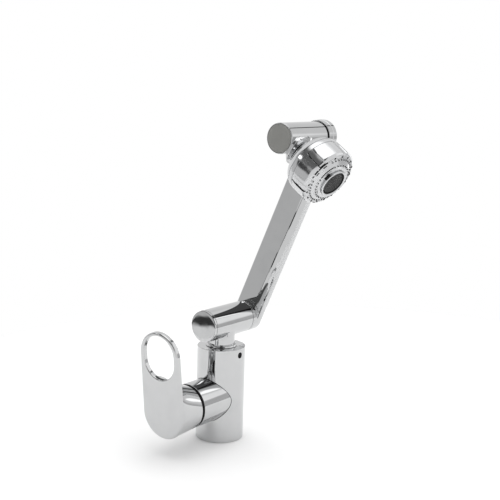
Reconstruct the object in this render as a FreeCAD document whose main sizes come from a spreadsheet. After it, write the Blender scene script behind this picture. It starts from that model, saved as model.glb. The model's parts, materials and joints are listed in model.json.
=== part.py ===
import FreeCAD, Part
import Sketcher
import math
import os
import re

# Single lever kitchen mixer with a two joint spout and a ball jointed spray head.
# Millimetres. +Z is up, the spout leans forward towards -Y, and the lever is on the -X side.
# The origin is the centre of the body's foot, on the deck.

doc = FreeCAD.newDocument("KitchenMixer")
closeEnough = 0.01
sheet = doc.addObject("Spreadsheet::Sheet", "Sizes")

# Driving dimensions: millimetres, or degrees where the name says angle, lean, dip or tilt.
# A reach is measured from the body's axis towards -X, a station along the spray head's axis.
sizes = {
    # body
    "bodyDiameter": 48.0,
    "bodyHeight": 94.8,
    "bodyTopChamfer": 0.8,
    "bodyFootRound": 1.0,
    "footLip": 2.0,
    "gasketWidth": 3.0,
    "gasketDepth": 2.0,
    "studSpacing": 13.0,
    "studHoleRadius": 4.0,
    "studHoleDepth": 14.0,
    "inletRadius": 5.0,
    "inletDepth": 20.0,
    "inletOffset": 4.0,
    "inletSpacing": 19.0,
    "portRadius": 2.75,
    "outletPortRise": 8.0,
    # fits
    "runningGap": 0.05,
    "seatGap": 0.1,
    "faceGap": 0.3,
    "overcut": 1.0,
    # cartridge, ring nut and dust ring in the boss on the body's side
    "bossHeight": 43.05,
    "bossReach": 50.6,
    "bossLip": 0.96,
    "cartridgeDiameter": 35.8,
    "cartridgeLead": 1.4,
    "chamberReach": 12.0,
    "portSealWidth": 1.5,
    "portSealHeight": 1.2,
    "nutStep": 1.0,
    "nutLength": 6.7,
    "nutSlotDepth": 2.5,
    "nutSlotWidth": 3.2,
    "nutSlotLength": 3.5,
    "nutSlotCount": 4,
    "dustLedge": 0.3,
    "dustRingWidth": 1.6,
    "dustRingDepth": 2.0,
    # lever hub and spindle
    "hubRecess": 4.6,
    "hubFlangeThickness": 3.7,
    "hubFlangePlay": 0.7,
    "hubSleeveRadius": 9.0,
    "clipRoom": 2.0,
    "clipThickness": 1.0,
    "clipDepth": 0.8,
    "clipHeight": 2.4,
    "clipOpening": 4.0,
    "tongueWidth": 6.4,
    "tongueRadius": 1.5,
    "tongueNeck": 2.0,
    "spindleRadius": 4.98,
    "spindleStart": 20.0,
    "spindleHoleRoom": 2.0,
    "spindleBoreGap": 0.4,
    "spindleNose": 3.0,
    "spindleChamfer": 0.8,
    "spindleTravel": 6.5,
    "crossPinRise": 5.6,
    "crossPinRadius": 1.25,
    "crossPinHold": 2.0,
    # lever
    "leverGap": 1.2,
    "plateReach": 86.43,
    "plateLean": 5.93,
    "plateThickness": 5.0,
    "plateFootRadius": 24.0,
    "plateTopRadius": 23.2,
    "plateTopRise": 59.0,
    "plateEdgeRound": 0.7,
    "ringHoleRadius": 18.5,
    "ringHoleLow": 54.2,
    "ringHoleHigh": 60.4,
    "skirtHeadRadius": 23.75,
    "skirtHeadRise": 11.0,
    "leverWall": 2.56,
    "hollowRoom": 1.3,
    "hingeInset": 1.6,
    "hingeEdge": 0.4,
    "hingePinRadius": 1.0,
    "lugDepth": 2.4,
    "lugWidth": 15.2,
    "lugLength": 6.2,
    "tonguePlay": 0.5,
    "cheekPlay": 1.42,
    "cheekThickness": 3.0,
    "cheekHeight": 24.0,
    "cheekLead": 3.0,
    "slotRun": 4.15,
    "slotEnd": 0.45,
    "slotPlay": 0.35,
    # swivel neck
    "stemRadius": 12.0,
    "stemBore": 5.5,
    "stemEnd": 3.75,
    "thrustThickness": 1.5,
    "thrustWidth": 4.7,
    "topBearingWall": 2.0,
    "topBearingHeight": 3.0,
    "sealWire": 0.92,
    "sealPlay": 0.46,
    "sealLand": 5.45,
    "sealPitch": 7.0,
    "setScrewRadius": 3.0,
    "setScrewWall": 0.4,
    "setScrewSink": 1.8,
    "setScrewTip": 1.9,
    "setScrewTipLength": 3.0,
    "setScrewSocket": 1.5,
    "setScrewSocketDepth": 3.0,
    "retainDepth": 2.0,
    "retainPlay": 0.4,
    "washerRadius": 15.5,
    "washerHeight": 1.3,
    "neckRadius": 13.3,
    "neckFlare": 1.1,
    # lower knuckle and its pivot
    "pivotRise": 23.68,
    "lowerRadius": 15.83,
    "lowerCapReach": 28.5,
    "lowerFaceReach": 30.8,
    "knuckleWall": 2.83,
    "capThickness": 2.6,
    "capLine": 0.3,
    "capEdge": 0.5,
    "capShrink": 0.2,
    "capPlugLength": 7.0,
    "knuckleGap": 0.8,
    "slipRingInset": 0.6,
    "lowerSpigotRadius": 11.0,
    "lowerSpigotBore": 5.5,
    "waistDepth": 2.4,
    "waistNear": 6.0,
    "waistFar": 3.0,
    "sealEdge": 1.35,
    "sealInset": 5.0,
    "spigotTailLength": 7.0,
    "lowerTailRadius": 9.0,
    "screwPocket": 7.3,
    "clampScrewRadius": 2.5,
    "clampScrewHead": 4.2,
    "clampScrewHeadHeight": 2.8,
    "clampWasherPlay": 0.4,
    "clampWasherThickness": 1.5,
    # arm
    "armLength": 204.7,
    "armLean": 23.48,
    "armHalfWidth": 15.7,
    "armFaceReach": 36.5,
    "armThickness": 10.6,
    "armFlatHalf": 4.8,
    "armCrownRadius": 30.0,
    "armEdgeRadius": 1.5,
    "armBore": 3.0,
    "armBoreOverlap": 1.0,
    # upper knuckle and its pivot
    "upperRadius": 14.06,
    "upperCapReach": 26.9,
    "upperCapThickness": 1.3,
    "upperCapDome": 0.8,
    "upperCapPlug": 3.2,
    "upperFaceReach": 31.8,
    "upperHubRadius": 15.3,
    "upperWall": 2.86,
    "upperSpigotRadius": 9.0,
    "upperSpigotBore": 5.0,
    "upperTailRadius": 7.95,
    "upperShoulderReach": 6.0,
    "upperSpigotEnd": 3.0,
    # outlet, its nut, and the ball stud
    "outletDip": 33.2,
    "outletRadius": 9.4,
    "outletBore": 5.0,
    "outletEnd": 17.0,
    "outletEdge": 0.1,
    "outletWasherThickness": 0.9,
    "nutLipThickness": 1.2,
    "nutLipPlay": 1.6,
    "nutCollar": 2.6,
    "nutCollarChamfer": 0.4,
    "outletNutLength": 6.4,
    "outletNutRadius": 13.4,
    "outletNutCollar": 15.4,
    "outletNutAcross": 24.6,
    "studFlangeThickness": 1.4,
    "studNeckRadius": 5.0,
    "ballRadius": 9.5,
    "ballBore": 3.0,
    "ballClear": 0.367,
    # spray head, stations counted from the ball's centre
    "headTilt": 5.6,
    "ringHold": 1.75,
    "ringBackEdge": 0.1,
    "ringBackSlope": 1.6,
    "ballRingRadius": 17.6,
    "ballRingLength": 4.5,
    "ballRingWall": 3.5,
    "ballPlay": 0.2,
    "ballSeatThickness": 1.6,
    "ballSeatBore": 4.0,
    "shoulderStart": 0.6,
    "shoulderRadius": 19.2,
    "shoulderRound": 0.7,
    "drumBackStation": 4.0,
    "drumBackRadius": 23.8,
    "drumBulge": 0.7,
    "drumWideStation": 15.0,
    "drumWideRadius": 28.3,
    "drumEndStation": 30.2,
    "drumEdge": 0.6,
    "drumWall": 2.4,
    "drumFloor": 3.0,
    "hubWall": 2.0,
    "hubFloor": 1.4,
    "lobeCount": 6,
    "lobeAngle": 112.5,
    "valleyAngle": 20.0,
    "valleyDepth": 0.9,
    "valleyStart": 8.5,
    "rimLip": 0.4,
    "rimWidth": 3.9,
    "rimThickness": 1.4,
    "rimRound": 0.8,
    "rimNotchCount": 18,
    "rimNotchRadius": 0.8,
    "faceFlange": 2.0,
    "faceWall": 1.4,
    "faceHubStation": 35.6,
    "faceTopStation": 37.0,
    "faceHubRound": 0.6,
    "nozzleRadius": 0.7,
    "nozzleEdge": 2.0,
    "nozzleInset": 1.6,
    "outerNozzleCount": 24,
    "innerNozzleCount": 18,
    "dividerStation": 20.0,
    "dividerThickness": 2.0,
    "aeratorRadius": 11.3,
    "aeratorWall": 2.2,
    "aeratorRim": 2.1,
    "aeratorMouth": 1.0,
    "aeratorStand": 3.2,
    "aeratorLength": 10.8,
    "aeratorEdge": 0.5,
    "aeratorInsertSink": 0.8,
    "aeratorInsertDepth": 5.0,
    "aeratorPin": 0.6,
    "tabAngle": 153.0,
    "tabTrack": 4.0,
    "tabLength": 6.2,
    "tabTravel": 3.0,
    "tabHeight": 1.6,
    "tabStem": 1.6,
    "tabStemInset": 0.8,
    "tabStemDepth": 2.6,
}

# Dimensions that follow from the driving ones.
derived = {
    "bodyRadius": "bodyDiameter / 2",
    "gasketOuter": "bodyRadius - footLip",
    "gasketInner": "gasketOuter - gasketWidth",
    "outletPortHeight": "bossHeight + outletPortRise",
    "cartridgeRadius": "cartridgeDiameter / 2",
    "chamberRadius": "cartridgeRadius + seatGap",
    "threadRadius": "chamberRadius + nutStep",
    "nutRadius": "threadRadius - runningGap",
    "dustRingInner": "threadRadius + dustLedge",
    "dustRingOuter": "dustRingInner + dustRingWidth",
    "bossRadius": "dustRingOuter + bossLip",
    "nutEndReach": "bossReach - hubRecess",
    "nutStartReach": "nutEndReach - nutLength",
    "cartridgeEnd": "nutStartReach - clipRoom",
    "hubBack": "nutEndReach + faceGap",
    "hubFront": "hubBack + hubFlangeThickness",
    "hubFlangeRadius": "threadRadius - hubFlangePlay",
    "hubClipFront": "nutStartReach - faceGap",
    "hubClipBack": "hubClipFront - clipThickness",
    "sleeveEnd": "hubClipBack - faceGap",
    "skirtStart": "bossReach + leverGap",
    "hingeReach": "skirtStart + hingeInset",
    "leverHollow": "bossRadius - leverWall",
    "hingeRise": "leverHollow - hingeEdge",
    "lugFloor": "hingeRise - lugDepth",
    "lugHalf": "lugWidth / 2",
    "tongueHalf": "tongueWidth / 2",
    "hingePinHalf": "lugHalf - seatGap",
    "crossPinReach": "hingeReach + crossPinRise",
    "spindleEnd": "crossPinReach + spindleNose",
    "hollowEnd": "spindleEnd + spindleTravel + hollowRoom",
    "cheekGap": "spindleRadius + cheekPlay",
    "cheekFar": "cheekGap + cheekThickness",
    "crossPinHalf": "cheekGap + crossPinHold",
    "screwHeight": "bodyHeight - topBearingHeight - setScrewWall - setScrewRadius",
    "screwTipStart": "stemRadius - retainDepth + retainPlay",
    "grooveLow": "screwHeight - setScrewTip - retainPlay",
    "grooveHigh": "screwHeight + setScrewTip + retainPlay",
    "sealDepth": "2 * sealWire + seatGap",
    "sealWidth": "2 * sealWire + sealPlay",
    "neckSealHigh": "grooveLow - sealLand - sealWidth / 2",
    "neckSealLow": "neckSealHigh - sealPitch",
    "stemLow": "neckSealLow - sealWidth / 2 - stemEnd",
    "stemFloor": "stemLow - seatGap - thrustThickness",
    "topBearingRadius": "stemRadius + topBearingWall",
    "neckLow": "bodyHeight + washerHeight + seatGap",
    "pivotHeight": "bodyHeight + pivotRise",
    "lowerEndReach": "lowerCapReach - capThickness - capLine",
    "capBore": "lowerRadius - knuckleWall",
    "plugRadius": "capBore - runningGap",
    "waistRadius": "lowerSpigotRadius - waistDepth",
    "innerSeal": "waistFar + sealEdge + sealWidth / 2",
    "outerSeal": "-(waistNear + sealInset)",
    "lowerShoulder": "innerSeal + sealWidth / 2 + sealEdge",
    "lowerSpigotEnd": "lowerShoulder + faceGap",
    "clampHeadStart": "lowerSpigotEnd + clampWasherThickness",
    "lowerHubFace": "lowerFaceReach + knuckleGap",
    "lowerTail": "lowerHubFace + spigotTailLength",
    "armMiddle": "armFaceReach + armThickness / 2",
    "armBoreReach": "lowerTail + armBore - armBoreOverlap",
    "upperHubFace": "upperFaceReach + knuckleGap",
    "upperTail": "upperHubFace + spigotTailLength",
    "upperEndReach": "upperCapReach - upperCapThickness - capLine",
    "chamberUpper": "upperRadius - upperWall",
    "upperPlug": "chamberUpper - runningGap",
    "upperPlugStart": "upperCapReach - upperCapThickness - upperCapPlug",
    "upperClipStart": "-upperShoulderReach + faceGap",
    "upperClipEnd": "-upperShoulderReach + faceGap + clipThickness",
    "upperInnerSeal": "-upperShoulderReach - sealEdge * 3 - sealWidth / 2",
    "upperOuterSeal": "-upperFaceReach + sealInset + sealWidth / 2",
    "outletReach": "upperEndReach - outletRadius - outletEdge",
    "outletWasherEnd": "outletEnd + runningGap + outletWasherThickness",
    "studBack": "outletWasherEnd + seatGap + runningGap",
    "studFront": "studBack + studFlangeThickness",
    "nutLipStart": "studFront + seatGap",
    "outletNutEnd": "nutLipStart + nutLipThickness",
    "outletNutStart": "outletNutEnd - outletNutLength",
    "nutCollarStart": "outletNutEnd - nutCollar",
    "nutLipRadius": "studNeckRadius + nutLipPlay",
    "nutHalfAcross": "outletNutAcross / 2",
    "ballStation": "outletNutEnd + ballClear + sqrt(ballRadius ^ 2 - nutLipRadius ^ 2)",
    "ringMouth": "ballRadius - ringHold",
    "ringBack": "sqrt(ballRadius ^ 2 - ringMouth ^ 2) - ringBackEdge",
    "ringBore": "ballRadius + ballPlay",
    "ringThread": "ringBore + ballRingWall",
    "hubRadius": "ringThread + hubWall",
    "ballSeatEnd": "ballRadius + ballSeatThickness",
    "hubEnd": "ballSeatEnd + hubFloor",
    "drumInner": "drumWideRadius - drumWall",
    "rimOuter": "drumWideRadius - rimLip",
    "rimInner": "rimOuter - rimWidth",
    "rimEnd": "drumEndStation + rimThickness",
    "faceBack": "drumEndStation - faceFlange",
    "aeratorRing": "aeratorRadius + aeratorRim",
    "faceHubRadius": "aeratorRing + tabTrack",
    "aeratorEnd": "faceHubStation + aeratorStand",
    "aeratorBack": "aeratorEnd - aeratorLength",
    "insertBack": "aeratorEnd - aeratorInsertSink - aeratorInsertDepth",
    "insertRadius": "aeratorRadius - aeratorMouth",
    "outerNozzleRing": "rimInner - nozzleEdge",
    "innerNozzleRing": "faceHubRadius + nozzleInset",
    "tabWidth": "tabTrack - 2 * faceGap",
    "tabStemStart": "aeratorRing + tabTrack / 2 - tabStem / 2",
    "armY": "-armLength * sin(armLean)",
    "armZ": "pivotHeight + armLength * cos(armLean)",
    "ballY": "armY - ballStation * cos(outletDip)",
    "ballZ": "armZ - ballStation * sin(outletDip)",
}

for row, (alias, value) in enumerate(sizes.items(), start=1):
    sheet.set("A%d" % row, alias)
    sheet.set("B%d" % row, str(value))
    sheet.setAlias("B%d" % row, alias)
doc.recompute()


def bound(text):
    """Write an expression over the sheet's cells, with each derived name spelled out."""
    def spell(word):
        name = word.group()
        if name in derived:
            return "(" + bound(derived[name]) + ")"
        return "Sizes." + name if name in sizes else name
    return re.sub(r"[A-Za-z]\w*", spell, text)


def now(text):
    """The present value of an expression, to start a sketch near its final shape."""
    return float(sheet.evalExpression(bound(text)))


def vector(x, y, z):
    return "create(<<vector>>; %s; %s; %s)" % (x, y, z)


def turned(axis, angle):
    return "create(<<rotation>>; %s; %s)" % (vector(*axis), angle)


def place(x="0", y="0", z="0", turn=None):
    turn = turn or turned((0, 0, 1), "0")
    return bound("create(<<placement>>; %s; %s)" % (vector(x, y, z), turn))


# Local frames. On a cross axis part, local z points to -X, x up and y back.
crossTurn = turned((0, 1, 0), "-90")
levelTurn = turned((1, 0, 0), "90")
leverFrame = place(z="bossHeight", turn=crossTurn)
lowerFrame = place(z="pivotHeight", turn=crossTurn)
armFrame = place(z="pivotHeight", turn=turned((1, 0, 0), "armLean") + " * " + crossTurn)
upperFrame = place(y="armY", z="armZ", turn=crossTurn)
outletTurn = turned((1, 0, 0), "90 + outletDip")
outletFrame = place(x="-outletReach", y="armY", z="armZ", turn=outletTurn)
headTurn = outletTurn + " * " + turned((0, 1, 0), "-headTilt")
headFrame = place(x="-outletReach", y="ballY", z="ballZ", turn=headTurn)

pieces = []


def piece(label, frame=None):
    """A new body, set down in its frame."""
    body = doc.addObject("PartDesign::Body", label)
    body.Label = label
    if frame:
        body.setExpression("Placement", frame)
    pieces.append(body)
    return body


def plane(body, role):
    return next(f for f in body.Origin.OriginFeatures if f.Role == role)


def sketch(body, role="XZ_Plane", lift=None, lean=None):
    """A sketch on one of the body's planes, lifted along its normal and leant about its y."""
    drawing = body.newObject("Sketcher::SketchObject", body.Label + "_sketch")
    drawing.AttachmentSupport = [(plane(body, role), "")]
    drawing.MapMode = "FlatFace"
    if lift:
        turn = turned((0, 1, 0), lean) if lean else None
        drawing.setExpression("AttachmentOffset", place(z=lift, turn=turn))
    return drawing


def constrain(drawing, text, kind, *where):
    """Add a dimension to a sketch and bind it to an expression."""
    number = drawing.addConstraint(Sketcher.Constraint(kind, *where))
    drawing.setExpression("Constraints[%d]" % number, bound(text))


def pin_point(drawing, geometry, end, x, y):
    """Hold one end of a line, or a circle's centre, at bound coordinates."""
    constrain(drawing, x, "DistanceX", -1, 1, geometry, end, now(x))
    constrain(drawing, y, "DistanceY", -1, 1, geometry, end, now(y))


def outline(drawing, points):
    """A closed outline of straight lines through bound points."""
    first = drawing.GeometryCount
    count = len(points)
    corners = [FreeCAD.Vector(now(x), now(y), 0) for x, y in points]
    for i in range(count):
        drawing.addGeometry(Part.LineSegment(corners[i], corners[(i + 1) % count]), False)
    for i in range(count):
        after = first + (i + 1) % count
        drawing.addConstraint(Sketcher.Constraint("Coincident", first + i, 2, after, 1))
    for i, (x, y) in enumerate(points):
        pin_point(drawing, first + i, 1, x, y)


def circle(drawing, radius, x="0", y="0"):
    centre = FreeCAD.Vector(now(x), now(y), 0)
    drawn = Part.Circle(centre, FreeCAD.Vector(0, 0, 1), now(radius))
    number = drawing.addGeometry(drawn, False)
    pin_point(drawing, number, 3, x, y)
    constrain(drawing, radius, "Radius", number, now(radius))


def slot_outline(drawing, lowRadius, highRadius, low, high):
    """Two round ends joined by their common tangents, as a stadium that may taper."""
    a, b = now(low), now(high)
    r, q = now(lowRadius), now(highRadius)
    side = math.acos((r - q) / (b - a))
    up = FreeCAD.Vector(0, 0, 1)
    foot = Part.Circle(FreeCAD.Vector(a, 0, 0), up, r)
    head = Part.Circle(FreeCAD.Vector(b, 0, 0), up, q)
    drawing.addGeometry(Part.ArcOfCircle(foot, side, 2 * math.pi - side), False)
    drawing.addGeometry(Part.ArcOfCircle(head, -side, side), False)
    for sign in (1, -1):
        start = FreeCAD.Vector(a + r * math.cos(side), sign * r * math.sin(side), 0)
        end = FreeCAD.Vector(b + q * math.cos(side), sign * q * math.sin(side), 0)
        drawing.addGeometry(Part.LineSegment(start, end), False)
    for first, last, other, end in ((0, 1, 2, 1), (1, 2, 2, 2), (0, 2, 3, 1), (1, 1, 3, 2)):
        drawing.addConstraint(Sketcher.Constraint("Tangent", first, last, other, end))
    for arc, middle, radius in ((0, low, lowRadius), (1, high, highRadius)):
        constrain(drawing, radius, "Radius", arc, now(radius))
        pin_point(drawing, arc, 3, middle, "0")


def revolve(body, points, cut=False, level=None):
    """Turn an outline of (radius, height) points about the body's z axis.

    With level, the points are (x, z) and they turn about the level line at that height.
    """
    drawing = sketch(body)
    outline(drawing, points)
    axis = "V_Axis"
    if level:
        line = Part.LineSegment(FreeCAD.Vector(0, now(level), 0),
                                FreeCAD.Vector(now("-bossReach"), now(level), 0))
        number = drawing.addGeometry(line, True)
        pin_point(drawing, number, 1, "0", level)
        pin_point(drawing, number, 2, "-bossReach", level)
        axis = "Axis0"
    kind = "PartDesign::Groove" if cut else "PartDesign::Revolution"
    feature = body.newObject(kind, body.Label + ("_groove" if cut else "_turned"))
    feature.Profile = drawing
    feature.ReferenceAxis = (drawing, [axis])
    feature.Angle = 360
    return feature


def pad(body, drawing, length, reversed=False, cut=False):
    kind = "PartDesign::Pocket" if cut else "PartDesign::Pad"
    feature = body.newObject(kind, body.Label + ("_pocket" if cut else "_pad"))
    feature.Profile = drawing
    feature.setExpression("Length", bound(length))
    feature.Reversed = reversed
    return feature


def drill(body, radius, length, frame, add=False):
    """A round hole, or a round rod, standing on its frame."""
    kind = "PartDesign::AdditiveCylinder" if add else "PartDesign::SubtractiveCylinder"
    feature = body.newObject(kind, body.Label + ("_rod" if add else "_hole"))
    feature.setExpression("Radius", bound(radius))
    feature.setExpression("Height", bound(length))
    feature.setExpression("Placement", frame)
    return feature


def sphere(body, radius, frame, add=False):
    kind = "PartDesign::AdditiveSphere" if add else "PartDesign::SubtractiveSphere"
    feature = body.newObject(kind, body.Label + ("_ball" if add else "_cup"))
    feature.setExpression("Radius", bound(radius))
    feature.setExpression("Placement", frame)
    return feature


def block(body, size, frame, add=False):
    """A box of three bound sides, standing on its frame's corner."""
    kind = "PartDesign::AdditiveBox" if add else "PartDesign::SubtractiveBox"
    feature = body.newObject(kind, body.Label + ("_block" if add else "_slot"))
    for side, text in zip(("Length", "Width", "Height"), size):
        feature.setExpression(side, bound(text))
    feature.setExpression("Placement", frame)
    return feature


def span(body, low, high, add=False):
    """A box between two corners."""
    size = ["(%s) - (%s)" % (b, a) for a, b in zip(low, high)]
    return block(body, size, place(*low), add)


def around(body, feature, count):
    """Repeat a feature evenly about the body's z axis."""
    doc.recompute()
    pattern = body.newObject("PartDesign::PolarPattern", body.Label + "_pattern")
    pattern.Originals = [feature]
    pattern.Axis = (plane(body, "Z_Axis"), [""])
    pattern.Angle = 360
    pattern.setExpression("Occurrences", bound(count))
    body.Tip = pattern
    return pattern


def soften(body, radius, chosen, chamfer=False):
    """Round or chamfer the edges of the body's last shape that a test picks."""
    doc.recompute()
    base = body.Tip
    names = ["Edge%d" % (i + 1) for i, edge in enumerate(base.Shape.Edges) if chosen(edge)]
    kind = "PartDesign::Chamfer" if chamfer else "PartDesign::Fillet"
    feature = body.newObject(kind, body.Label + "_edge")
    feature.Base = (base, names)
    feature.setExpression("Size" if chamfer else "Radius", bound(radius))
    return feature


def ring_edge(height, radius):
    """Pick the full circles about z at this height and radius."""
    def chosen(edge):
        round_edge = isinstance(edge.Curve, Part.Circle)
        return (round_edge and abs(edge.Curve.Radius - now(radius)) < closeEnough
                and abs(edge.Curve.Center.z - now(height)) < closeEnough)
    return chosen


def ring(label, frame, inner, outer, low, high):
    """A plain turned ring or washer."""
    body = piece(label, frame)
    revolve(body, [(inner, low), (outer, low), (outer, high), (inner, high)])
    return body


def circlip(label, frame, groove, low, high):
    """A spring clip: a ring open over a short gap."""
    body = ring(label, frame, groove + " + seatGap", groove + " + clipHeight",
                low + " + runningGap", high + " - runningGap")
    span(body, ("0", "-clipOpening / 2", low + " - overcut"),
         (groove + " + clipHeight + overcut", "clipOpening / 2", high + " + overcut"))
    return body


def clip_groove(body, surface, low, high):
    floor = surface + " - clipDepth"
    over = surface + " + overcut"
    revolve(body, [(floor, low), (over, low), (over, high), (floor, high)], cut=True)


def seal_grooves(body, surface, heights):
    """Grooves for the seals in a turned stem, one at each height."""
    for height in heights:
        low = "%s - sealWidth / 2" % height
        high = "%s + sealWidth / 2" % height
        floor = "%s - sealDepth" % surface
        over = "%s + overcut" % surface
        revolve(body, [(floor, low), (over, low), (over, high), (floor, high)], cut=True)


def group(label, frame, links):
    """Separate solids that share a node."""
    compound = doc.addObject("Part::Compound", label)
    compound.Label = label
    compound.Links = links
    compound.setExpression("Placement", frame)
    pieces.append(compound)


def seal_group(label, frame, surface, heights):
    """Round rubber seals, one solid for each height."""
    rings = []
    for height in heights:
        torus = doc.addObject("Part::Torus", label + "_ring")
        torus.setExpression("Radius1", bound("%s - sealWire - runningGap" % surface))
        torus.setExpression("Radius2", bound("sealWire"))
        torus.setExpression("Placement", place(z=height))
        rings.append(torus)
    group(label, frame, rings)


def cap_plug(plug, low, high):
    """Outline points of a cap's plug, with a corner cut away for its seal."""
    return [
        ("0", low),
        (plug + " - sealDepth", low),
        (plug + " - sealDepth", low + " + sealWidth"),
        (plug, low + " + sealWidth"),
        (plug, high),
    ]


# The body: a turned column with the cartridge's boss on its side.
casting = piece("body_casting")
revolve(casting, [
    ("0", "0"),
    ("gasketInner", "0"),
    ("gasketInner", "gasketDepth"),
    ("gasketOuter", "gasketDepth"),
    ("gasketOuter", "0"),
    ("bodyRadius", "0"),
    ("bodyRadius", "bodyHeight"),
    ("0", "bodyHeight"),
])
soften(casting, "bodyTopChamfer", ring_edge("bodyHeight", "bodyRadius"), chamfer=True)
soften(casting, "bodyFootRound", ring_edge("0", "bodyRadius"))
boss = sketch(casting, "YZ_Plane")
circle(boss, "bossRadius", "0", "bossHeight")
pad(casting, boss, "bossReach", reversed=True)
revolve(casting, [
    ("0", "stemFloor"),
    ("stemRadius + runningGap", "stemFloor"),
    ("stemRadius + runningGap", "bodyHeight - topBearingHeight"),
    ("topBearingRadius", "bodyHeight - topBearingHeight"),
    ("topBearingRadius", "bodyHeight + overcut"),
    ("0", "bodyHeight + overcut"),
], cut=True)
revolve(casting, [
    ("-chamberReach", "bossHeight"),
    ("-chamberReach", "bossHeight + chamberRadius"),
    ("-nutStartReach + overcut", "bossHeight + chamberRadius"),
    ("-nutStartReach + overcut", "bossHeight + threadRadius"),
    ("-bossReach + dustRingDepth", "bossHeight + threadRadius"),
    ("-bossReach + dustRingDepth", "bossHeight + dustRingOuter"),
    ("-bossReach - overcut", "bossHeight + dustRingOuter"),
    ("-bossReach - overcut", "bossHeight"),
], cut=True, level="bossHeight")
drill(casting, "studHoleRadius", "studHoleDepth", place(x="-studSpacing"))
for side in ("-", ""):
    across = side + "inletSpacing / 2"
    drill(casting, "inletRadius", "inletDepth", place("inletOffset", across))
    drill(casting, "portRadius", "bossHeight", place("inletOffset", across))
    drill(casting, "portRadius", "chamberReach + inletOffset",
          place("inletOffset", across, "bossHeight", crossTurn))
drill(casting, "portRadius", "chamberReach", place(z="outletPortHeight", turn=crossTurn))
drill(casting, "portRadius", "stemFloor - outletPortHeight + overcut", place(z="outletPortHeight"))
drill(casting, "setScrewRadius + runningGap", "bodyRadius",
      place(z="screwHeight", turn=levelTurn))

ring("base_gasket", None, "gasketInner + seatGap", "gasketOuter - seatGap",
     "0", "gasketDepth - seatGap")
ring("neck_thrust_washer", None, "stemRadius - faceGap - thrustWidth", "stemRadius - faceGap",
     "stemFloor", "stemFloor + thrustThickness")
ring("neck_top_bearing", None, "stemRadius + runningGap", "topBearingRadius - runningGap",
     "bodyHeight - topBearingHeight", "bodyHeight")
ring("neck_slip_washer", None, "stemRadius + faceGap", "washerRadius",
     "bodyHeight", "bodyHeight + washerHeight")

# The grub screw that keeps the neck in the body: its tip runs in the neck's groove.
setScrew = piece("swivel_set_screw", place(z="screwHeight", turn=levelTurn))
screwEnd = "bodyRadius - setScrewSink"
revolve(setScrew, [
    ("0", "screwTipStart"),
    ("setScrewTip", "screwTipStart"),
    ("setScrewTip", "screwTipStart + setScrewTipLength"),
    ("setScrewRadius", "screwTipStart + setScrewTipLength + setScrewRadius - setScrewTip"),
    ("setScrewRadius", screwEnd),
    ("0", screwEnd),
])
hexagon = sketch(setScrew, "XY_Plane", lift=screwEnd)
outline(hexagon, [("setScrewSocket * cos(%d)" % angle, "setScrewSocket * sin(%d)" % angle)
                  for angle in range(0, 360, 60)])
pad(setScrew, hexagon, "setScrewSocketDepth", cut=True)

# Cartridge, its port seals and the ring nut that clamps it.
cartridge = piece("cartridge", leverFrame)
revolve(cartridge, [
    ("0", "chamberReach"),
    ("cartridgeRadius - cartridgeLead", "chamberReach"),
    ("cartridgeRadius", "chamberReach + cartridgeLead"),
    ("cartridgeRadius", "nutStartReach - runningGap"),
    ("hubSleeveRadius + clipHeight", "nutStartReach - runningGap"),
    ("hubSleeveRadius + clipHeight", "cartridgeEnd"),
    ("spindleRadius + spindleBoreGap", "cartridgeEnd"),
    ("spindleRadius + spindleBoreGap", "spindleStart - spindleHoleRoom"),
    ("0", "spindleStart - spindleHoleRoom"),
])
ports = (("0", "-inletSpacing / 2"), ("0", "inletSpacing / 2"), ("outletPortRise", "0"))
sealParts = []
for up, across in ports:
    mouth = place(up, across, "chamberReach")
    drill(cartridge, "portRadius + portSealWidth + seatGap", "portSealHeight", mouth)
    outer = doc.addObject("Part::Cylinder", "port_seal_outer")
    inner = doc.addObject("Part::Cylinder", "port_seal_inner")
    for part, radius in ((outer, "portRadius + portSealWidth"), (inner, "portRadius")):
        part.setExpression("Radius", bound(radius))
        part.setExpression("Height", bound("portSealHeight - seatGap"))
        part.setExpression("Placement", mouth)
    portSeal = doc.addObject("Part::Cut", "port_seal")
    portSeal.Base = outer
    portSeal.Tool = inner
    sealParts.append(portSeal)
group("cartridge_port_seals", leverFrame, sealParts)

ringNut = ring("cartridge_nut", leverFrame, "hubSleeveRadius + runningGap", "nutRadius",
               "nutStartReach", "nutEndReach")
spanner = span(ringNut, ("nutRadius - nutSlotLength", "-nutSlotWidth / 2",
                         "nutEndReach - nutSlotDepth"),
               ("nutRadius + overcut", "nutSlotWidth / 2", "nutEndReach + overcut"))
around(ringNut, spanner, "nutSlotCount")
ring("lever_dust_ring", leverFrame, "dustRingInner", "dustRingOuter - seatGap",
     "bossReach - dustRingDepth", "bossReach")

# The lever's hub turns in the nut, and carries the lever's hinge on its tongue.
hub = piece("lever_hub", leverFrame)
revolve(hub, [
    ("spindleRadius + runningGap", "sleeveEnd"),
    ("hubSleeveRadius", "sleeveEnd"),
    ("hubSleeveRadius", "hubBack"),
    ("hubFlangeRadius", "hubBack"),
    ("hubFlangeRadius", "hubFront"),
    ("spindleRadius + runningGap", "hubFront"),
])
clip_groove(hub, "hubSleeveRadius", "hubClipBack", "hubClipFront")
tongueTop = "hingeReach + tongueRadius"
span(hub, ("-hubFlangeRadius + faceGap", "-tongueHalf", "hubBack"),
     ("-hingeRise + tongueRadius + tongueNeck", "tongueHalf", tongueTop), add=True)
span(hub, ("-hingeRise - tongueRadius", "-tongueHalf", "skirtStart - seatGap"),
     ("-hubFlangeRadius + tongueRadius", "tongueHalf", tongueTop), add=True)
drill(hub, "hingePinRadius + runningGap", "tongueWidth + 2 * overcut",
      place("-hingeRise", "tongueHalf + overcut", "hingeReach", levelTurn))
circlip("hub_circlip", leverFrame, "hubSleeveRadius - clipDepth", "hubClipBack", "hubClipFront")

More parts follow.
